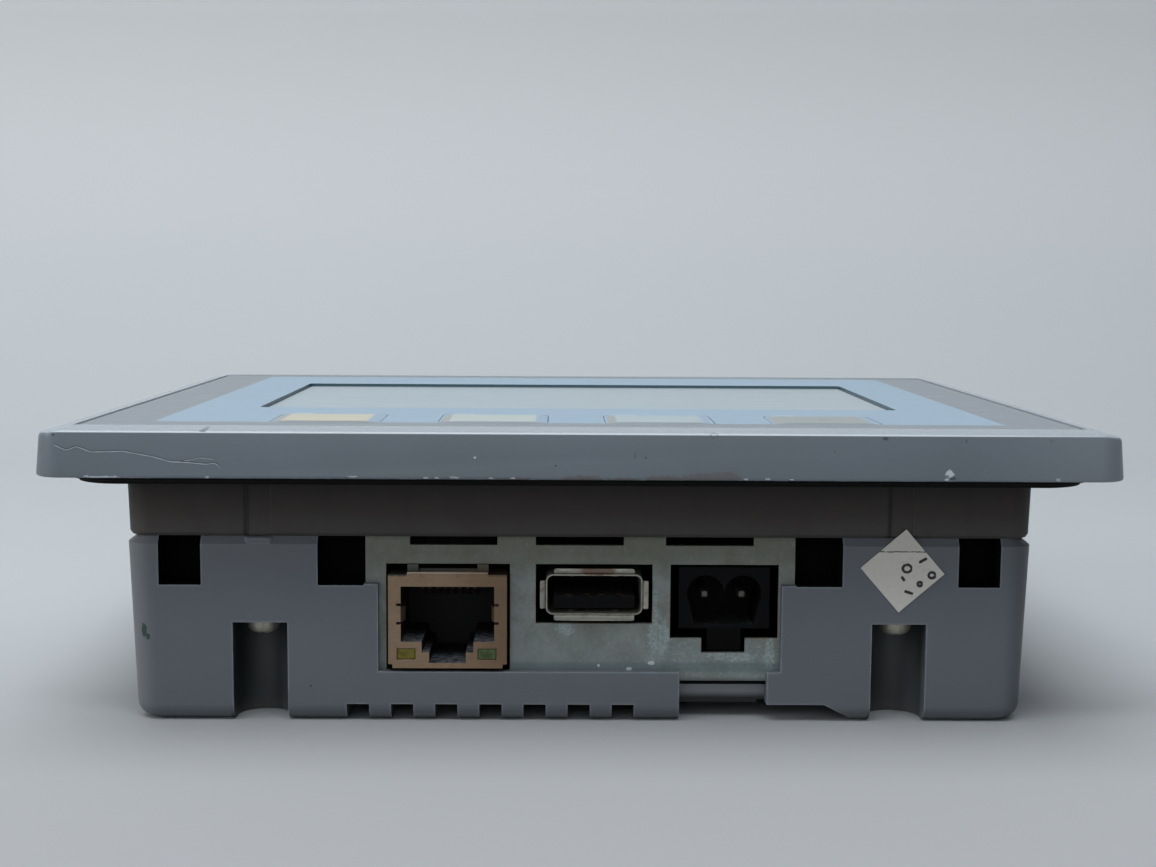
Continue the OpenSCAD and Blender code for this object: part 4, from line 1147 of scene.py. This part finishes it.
def sticker(paper, stroke):
    """Square seal over the joint, with the strokes of a worn rubber stamp that spell nothing."""
    low, high = low_high("seal_sticker")
    cx, cz = (low[0] + high[0]) / 2, (low[2] + high[2]) / 2
    side, turn, count = 8.0, math.radians(-41), 24
    draw = random.Random(5)

    def at(u, v, lift=0.0):
        """u and v run from -1 to 1 across the seal."""
        px = cx + side / 2 * (u * math.cos(turn) + v * math.sin(turn))
        pz = cz + side / 2 * (-u * math.sin(turn) + v * math.cos(turn))
        groove = max(0.0, 1 - abs(pz - Z_JOINT - 0.05) / 0.8)
        slope = 0.25 * max(0.0, 1 - pz / Z_JOINT)
        curl = max(0.0, abs(u) + abs(v) - 1.75) ** 2 * 1.6
        depth = 0.03 - 0.08 * groove ** 1.5 + curl * 0.6 - slope * 0.9 + lift
        return px, -BODY_Y - depth, pz

    def near(dx, dz, lift):
        """The same for a point dx and dz millimetres from the seal's middle."""
        u = (dx * math.cos(turn) - dz * math.sin(turn)) * 2 / side
        v = (dx * math.sin(turn) + dz * math.cos(turn)) * 2 / side
        return at(u, v, lift)

    size = count + 1
    grid = [(2 * i / count - 1, 2 * j / count - 1) for j in range(size) for i in range(size)]
    front = [at(u, v, 0.09 + draw.uniform(0, 0.008)) for u, v in grid]
    back = [at(u, v) for u, v in grid]
    faces = []
    for j in range(count):
        for i in range(count):
            a = j * size + i
            faces.append((a, a + 1, a + size + 1, a + size))
            b = a + size * size
            faces.append((b, b + size, b + size + 1, b + 1))
    rim = list(range(count)) + [count + j * size for j in range(count)]
    rim += [size * size - 1 - i for i in range(count)] + [(count - j) * size for j in range(count)]
    for k, a in enumerate(rim):
        b = rim[(k + 1) % len(rim)]
        faces.append((a, a + size * size, b + size * size, b))
    piece = from_points("seal_sticker_piece", front + back, faces)
    assign(piece, paper, "seal_sticker")
    # Each stroke's middle and its two radii, for a ring; a straight bar has no first radius, half
    # its length for the second, and then its slope in degrees.
    strokes = [(0.6, 0.35, 0.58, 0.52, 0), (0.1, -1.05, 0.0, 0.38, 55), (2.7, 1.45, 0.0, 0.62, 150),
               (3.95, -0.55, 0.44, 0.40, 0), (0.9, -2.9, 0.0, 0.62, 18), (2.35, -1.75, 0.28, 0.26, 0)]
    steps = 14
    marks = []
    for mx, mz, rx, rz, slope in strokes:
        loops = []
        for k in range(steps + 1):
            if rx:
                a = math.radians(360 * k / steps)
                dx, dz = mx + rx * math.cos(a), mz + rz * math.sin(a)
                nx, nz = math.cos(a), math.sin(a)
            else:
                a = math.radians(slope)
                along = rz * (2 * k / steps - 1)
                dx, dz = mx + along * math.cos(a), mz - along * math.sin(a)
                nx, nz = math.sin(a), math.cos(a)
            half = 0.19 * (0.6 if k in (0, steps) else draw.uniform(0.85, 1.15))
            corners = ((-half, 0.108), (half, 0.108), (half, 0.118), (-half, 0.118))
            loops.append([near(dx + nx * side_way, dz + nz * side_way, lift) for side_way, lift in corners])
        marks.append(loft("mark", loops))
    assign(joined("seal_sticker_strokes", marks), stroke)


def scratch():
    """A long scratch on the left of the bezel's front, pale with a painted shadow along its upper lip, and a
    short branch.
    """
    pale = plain("scratch_pale", (0.30, 0.35, 0.40), 0.45, per_mm=2.0)
    # The dark lip is a painted shadow along the scratch's upper edge.
    dark = plain("scratch_shadow", (0.055, 0.067, 0.082), 0.5, per_mm=2.0)
    long_line = [(-67.2, 38.2), (-65.6, 37.5), (-64.3, 38.0), (-62.5, 37.3), (-58.4, 37.4), (-54.9, 36.8),
                 (-52.3, 36.1), (-50.0, 36.0), (-47.8, 35.8), (-46.6, 36.0), (-46.0, 35.3)]
    branch = [(-52.0, 36.1), (-50.2, 36.3), (-48.6, 36.65), (-46.9, 36.45)]
    for name, points, lift, width, material in (
            ("long", long_line, 0.0, 0.085, pale), ("branch", branch, 0.0, 0.06, pale),
            ("long_lip_shadow", long_line, 0.17, 0.075, dark), ("branch_lip_shadow", branch, 0.13, 0.055, dark)):
        curve = bpy.data.curves.new("scratch_" + name, "CURVE")
        curve.dimensions = "3D"
        curve.bevel_depth = width * MM
        curve.bevel_resolution = 1
        fine = []
        for (x0, z0), (x1, z1) in zip(points, points[1:]):
            parts = max(1, round(abs(x1 - x0) / 0.5))
            fine += [(x0 + (x1 - x0) * k / parts, z0 + (z1 - z0) * k / parts) for k in range(parts)]
        fine.append(points[-1])
        line = curve.splines.new("NURBS")
        line.points.add(len(fine) - 1)
        for k, (x, z) in enumerate(fine):
            corner = max(0.0, abs(x) - (BEZEL_X - BEZEL_R))
            round_in = BEZEL_R - math.sqrt(max(0.0, BEZEL_R ** 2 - corner ** 2))
            y = -BEZEL_Y + 0.03 + rim_inset(z, *END_RIM) + round_in
            line.points[k].co = (x * MM, y * MM, (z + lift) * MM, 1)
            line.points[k].radius = 0.35 if k in (0, len(fine) - 1) else 0.8 + 0.35 * math.sin(k * 1.7)
        line.order_u = 4
        line.use_endpoint_u = True
        piece = bpy.data.objects.new("bezel_scratch_" + name, curve)
        bpy.context.scene.collection.objects.link(piece)
        curve.materials.append(material)
        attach(piece, ROOT)


def screw_heads(material):
    """Domed heads of the cover screws with a cross recess, in place of the CAD screws."""
    low, high = low_high("cover_screws")
    head_r, head_h = 2.7, 1.9
    x, y = high[0] - head_r, high[1] - head_r
    under = low[2] + head_h
    parts = []
    rings = [(0.6, -1.88), (1.2, -1.85), (1.7, -1.65), (2.05, -1.25), (2.22, -0.7), (2.25, 0.0),
             (1.25, 0.0), (1.25, 17.0), (0.6, 18.0)]
    for cx in (-x, x):
        for cy in (-y, y):
            head = loft("head", [circle(cx, cy, r, under + z) for r, z in rings])
            for a, b in ((1.5, 0.32), (0.32, 1.5)):
                slot = bar("slot", (cx - a, cx + a), (cy - b, cy + b), (under - 2.5, under - 0.9))
                boolean(head, slot, "DIFFERENCE")
            parts.append(head)
    piece = joined("cover_screws_piece", parts)
    smooth(piece.data)
    return assign(piece, material, "cover_screws")


# ---------------------------------------------------------------- camera, stage and light


def camera():
    """The photograph's viewpoint, in the panel's frame."""
    made = bpy.data.cameras.new("camera")
    made.sensor_width = 36.0
    made.lens = 52.62
    made.clip_start = 0.01
    made.clip_end = 20
    holder = bpy.data.objects.new("camera", made)
    bpy.context.scene.collection.objects.link(holder)
    yaw, pitch, roll = (math.radians(a) for a in (0.712, 5.536, 0.355))
    ahead = Vector((math.sin(yaw) * math.cos(pitch), math.cos(yaw) * math.cos(pitch), -math.sin(pitch)))
    level_right = Vector((math.cos(yaw), -math.sin(yaw), 0))
    level_up = level_right.cross(ahead)
    right = math.cos(roll) * level_right + math.sin(roll) * level_up
    up = math.cos(roll) * level_up - math.sin(roll) * level_right
    turn = Matrix((right, up, -ahead)).transposed().to_4x4()
    holder.matrix_world = Matrix.Translation(Vector((-3.245, -271.98, 60.75)) * MM) @ turn
    bpy.context.scene.camera = holder


def stage():
    """A pale floor that sweeps up into a paler wall behind the panel."""
    material, shader, place = new_material("stage_paint", (0.44, 0.46, 0.48), 0.75)
    axes = split(place)
    cloud = noise(place, 0.004, 3.0)
    shade = blend(cloud, (0.365, 0.395, 0.415), (0.395, 0.418, 0.437))
    shade = blend(step(axes["Z"], 10.0, 150.0), shade, (0.500, 0.515, 0.535))
    shade = laid(shade, step(axes["Y"], 60.0, -120.0), (0.265, 0.265, 0.280), 0.7)
    drive(shader, "Base Color", shade)
    wall_y, bend, height, front, half_w = 420, 160, 1500, -1200, 1600
    line = [(front, 0.0), (wall_y - bend, 0.0)]
    for k in range(1, 13):
        turn = math.radians(90 * k / 12)
        line.append((wall_y - bend + bend * math.sin(turn), bend * (1 - math.cos(turn))))
    line.append((wall_y, height))
    points = [(x, y, z) for y, z in line for x in (-half_w, half_w)]
    faces = [(2 * k, 2 * k + 1, 2 * k + 3, 2 * k + 2) for k in range(len(line) - 1)]
    from_points("floor_sweep", points, faces, material)


def area_light(name, at, aim, size, watts, color=(1, 1, 1)):
    made = bpy.data.lights.new(name, "AREA")
    made.shape = "RECTANGLE"
    made.size, made.size_y = (s * MM for s in size)
    made.energy = watts
    made.color = color
    holder = bpy.data.objects.new(name, made)
    bpy.context.scene.collection.objects.link(holder)
    holder.location = Vector(at) * MM
    holder.rotation_euler = (Vector(aim) - Vector(at)).to_track_quat("-Z", "Y").to_euler()


def lights():
    area_light("ceiling_light", (-110, 60, 1150), (0, 40, 0), (1300, 900), 15, (0.97, 0.99, 1.0))
    area_light("front_fill", (-200, -1300, 520), (0, 0, 20), (1400, 800), 3.0, (1.0, 0.98, 0.95))
    area_light("edge_light", (-60, -420, 760), (0, -50, 40), (900, 160), 2.6, (0.95, 0.98, 1.0))
    area_light("side_light", (-1100, -350, 420), (0, 0, 20), (500, 500), 4.5, (1.0, 0.98, 0.96))
    world = bpy.data.worlds.new("world")
    bpy.context.scene.world = world
    world.use_nodes = True
    world.node_tree.nodes["Background"].inputs["Color"].default_value = (0.80, 0.88, 0.95, 1)
    world.node_tree.nodes["Background"].inputs["Strength"].default_value = 0.2
    bpy.context.scene.view_settings.view_transform = "Standard"


# ---------------------------------------------------------------- build


def outside_parts(steel):
    """What shows from outside: housing, cover, foil, keys, screen, sockets, screws and seal."""
    cover = cover_plastic()
    header = black_plastic("connector_black", (0.0032, 0.0034, 0.0040), dust=0.6, gloss=0.08, key_shadow=0.85)
    # The socket's dust is partly painted light: pale ledges by the mouth, dark deeper in.
    socket_black = black_plastic("socket_black", (0.007, 0.0075, 0.0085), dust=1.0,
                                 dust_and_light_color=(0.21, 0.225, 0.25), dust_and_light_depth=9.0)
    pin_metal = plated("pin_tin", (0.125, 0.120, 0.112), 0.4)
    gold = plated("contact_gold", (0.055, 0.036, 0.020), 0.45, (0.03, 0.02, 0.012), 0.5)
    # Painted shade: a near-black material for the inside of the clamp recesses.
    painted_pocket_shade = black_plastic("pocket_painted_shade", (0.003, 0.003, 0.003), 0.85, 0.0, 0.04)
    front_housing(bezel_plastic())
    housing_collar(collar_plastic(), painted_pocket_shade)
    rear_cover(cover, painted_pocket_shade)
    cover_boss(cover)
    scratch()
    finish_cad("mounting_seal", seal_rubber(), 0.25, 3)
    front_foil()
    for index in range(4):
        function_key(index)
    finish_cad("touch_glass", screen_skin(), 0.2)
    finish_cad("connector_plate", zinc_plate(), 0.08)
    network_shell(socket_steel())
    finish_cad("network_insert", socket_black, 0.08)
    finish_cad("network_contacts", gold, 0.04)
    finish_cad("lamp_lens_left", lens("lens_yellow", (0.085, 0.072, 0.006), (0.135, 0.112, 0.012)), 0.12)
    finish_cad("lamp_lens_right", lens("lens_green", (0.032, 0.050, 0.018), (0.065, 0.098, 0.034)), 0.12)
    usb_shell(usb_steel())
    finish_cad("usb_tongue", header, 0.12)
    finish_cad("usb_contacts", gold, 0.03)
    finish_cad("power_header", header, 0.15)
    finish_cad("power_pins", pin_metal, 0.3, 3)
    screw_heads(steel)
    sticker(paper_sticker(), ink())


def inside_parts(steel):
    """What the cover hides: the display's stack, the boards and what sits on them."""
    sheet = plated("sheet_steel", (0.48, 0.49, 0.48), 0.38, (0.3, 0.3, 0.29), 0.3, 0.2)
    sleeve = black_plastic("capacitor_sleeve", (0.004, 0.004, 0.006), dust=0.0)
    chip = black_plastic("chip_black", (0.02, 0.02, 0.022), 0.5, 0.2)
    board = circuit_board()
    ribbon = plain("flat_cable", (0.70, 0.67, 0.58), 0.45)
    can = plated("drawn_can", (0.62, 0.63, 0.65), 0.3, (0.4, 0.4, 0.4), 0.2)
    ceramic = plain("ceramic_part", (0.45, 0.36, 0.19), 0.5, per_mm=0.6)
    foam = plain("foam_black", (0.012, 0.012, 0.012), 0.9, per_mm=2.0, depth=0.05)
    glass = plain("lcd_glass", (0.2, 0.21, 0.22), 0.2)
    guide = plain("light_guide", (0.8, 0.82, 0.83), 0.3)
    brass = plated("turned_brass", (0.62, 0.46, 0.17), 0.25, (0.3, 0.2, 0.08), 0.3)
    ivory = plain("ivory_plastic", (0.72, 0.69, 0.60), 0.45)
    film = plain("label_film", (0.58, 0.59, 0.60), 0.35, per_mm=0.3)
    dome = plated("dome_steel", (0.6, 0.6, 0.58), 0.2)
    # Each node's material and how far its edges are softened
    looks = {
        "key_board": (board, 0.1), "key_flex": (ribbon, 0), "touch_flex": (ribbon, 0),
        "display_flex": (ribbon, 0), "display_gasket": (foam, 0.1), "lcd_cell": (glass, 0.1),
        "light_guide": (guide, 0.1), "lcd_frame": (sheet, 0.1), "display_bracket": (sheet, 0.12),
        "bracket_screws": (steel, 0.1), "board_standoffs": (brass, 0.15), "main_board": (board, 0.1),
        "board_screws": (steel, 0.1), "processor": (chip, 0.12), "memory_chips": (chip, 0.1),
        "flash_chip": (chip, 0.1), "network_chip": (chip, 0.1), "network_transformer": (chip, 0.2),
        "power_inductor": (chip, 0.4), "electrolytic_capacitors": (sleeve, 0.3),
        "backup_capacitor": (can, 0.3), "clock_crystal": (can, 0.4), "input_fuse": (ceramic, 0.2),
        "buzzer": (chip, 0.3), "flex_connectors": (ivory, 0.12), "small_components": (ceramic, 0.08),
        "rating_label": (film, 0)}
    for index in range(1, 5):
        looks[f"key_dome_{index}"] = (dome, 0)
    for node, (material, width) in looks.items():
        finish_cad(node, material, width)


def build():
    camera()
    stage()
    lights()
    steel = plated("screw_steel", (0.42, 0.40, 0.33), 0.42, (0.13, 0.10, 0.07), 0.6, 1.2)
    outside_parts(steel)
    inside_parts(steel)


build()
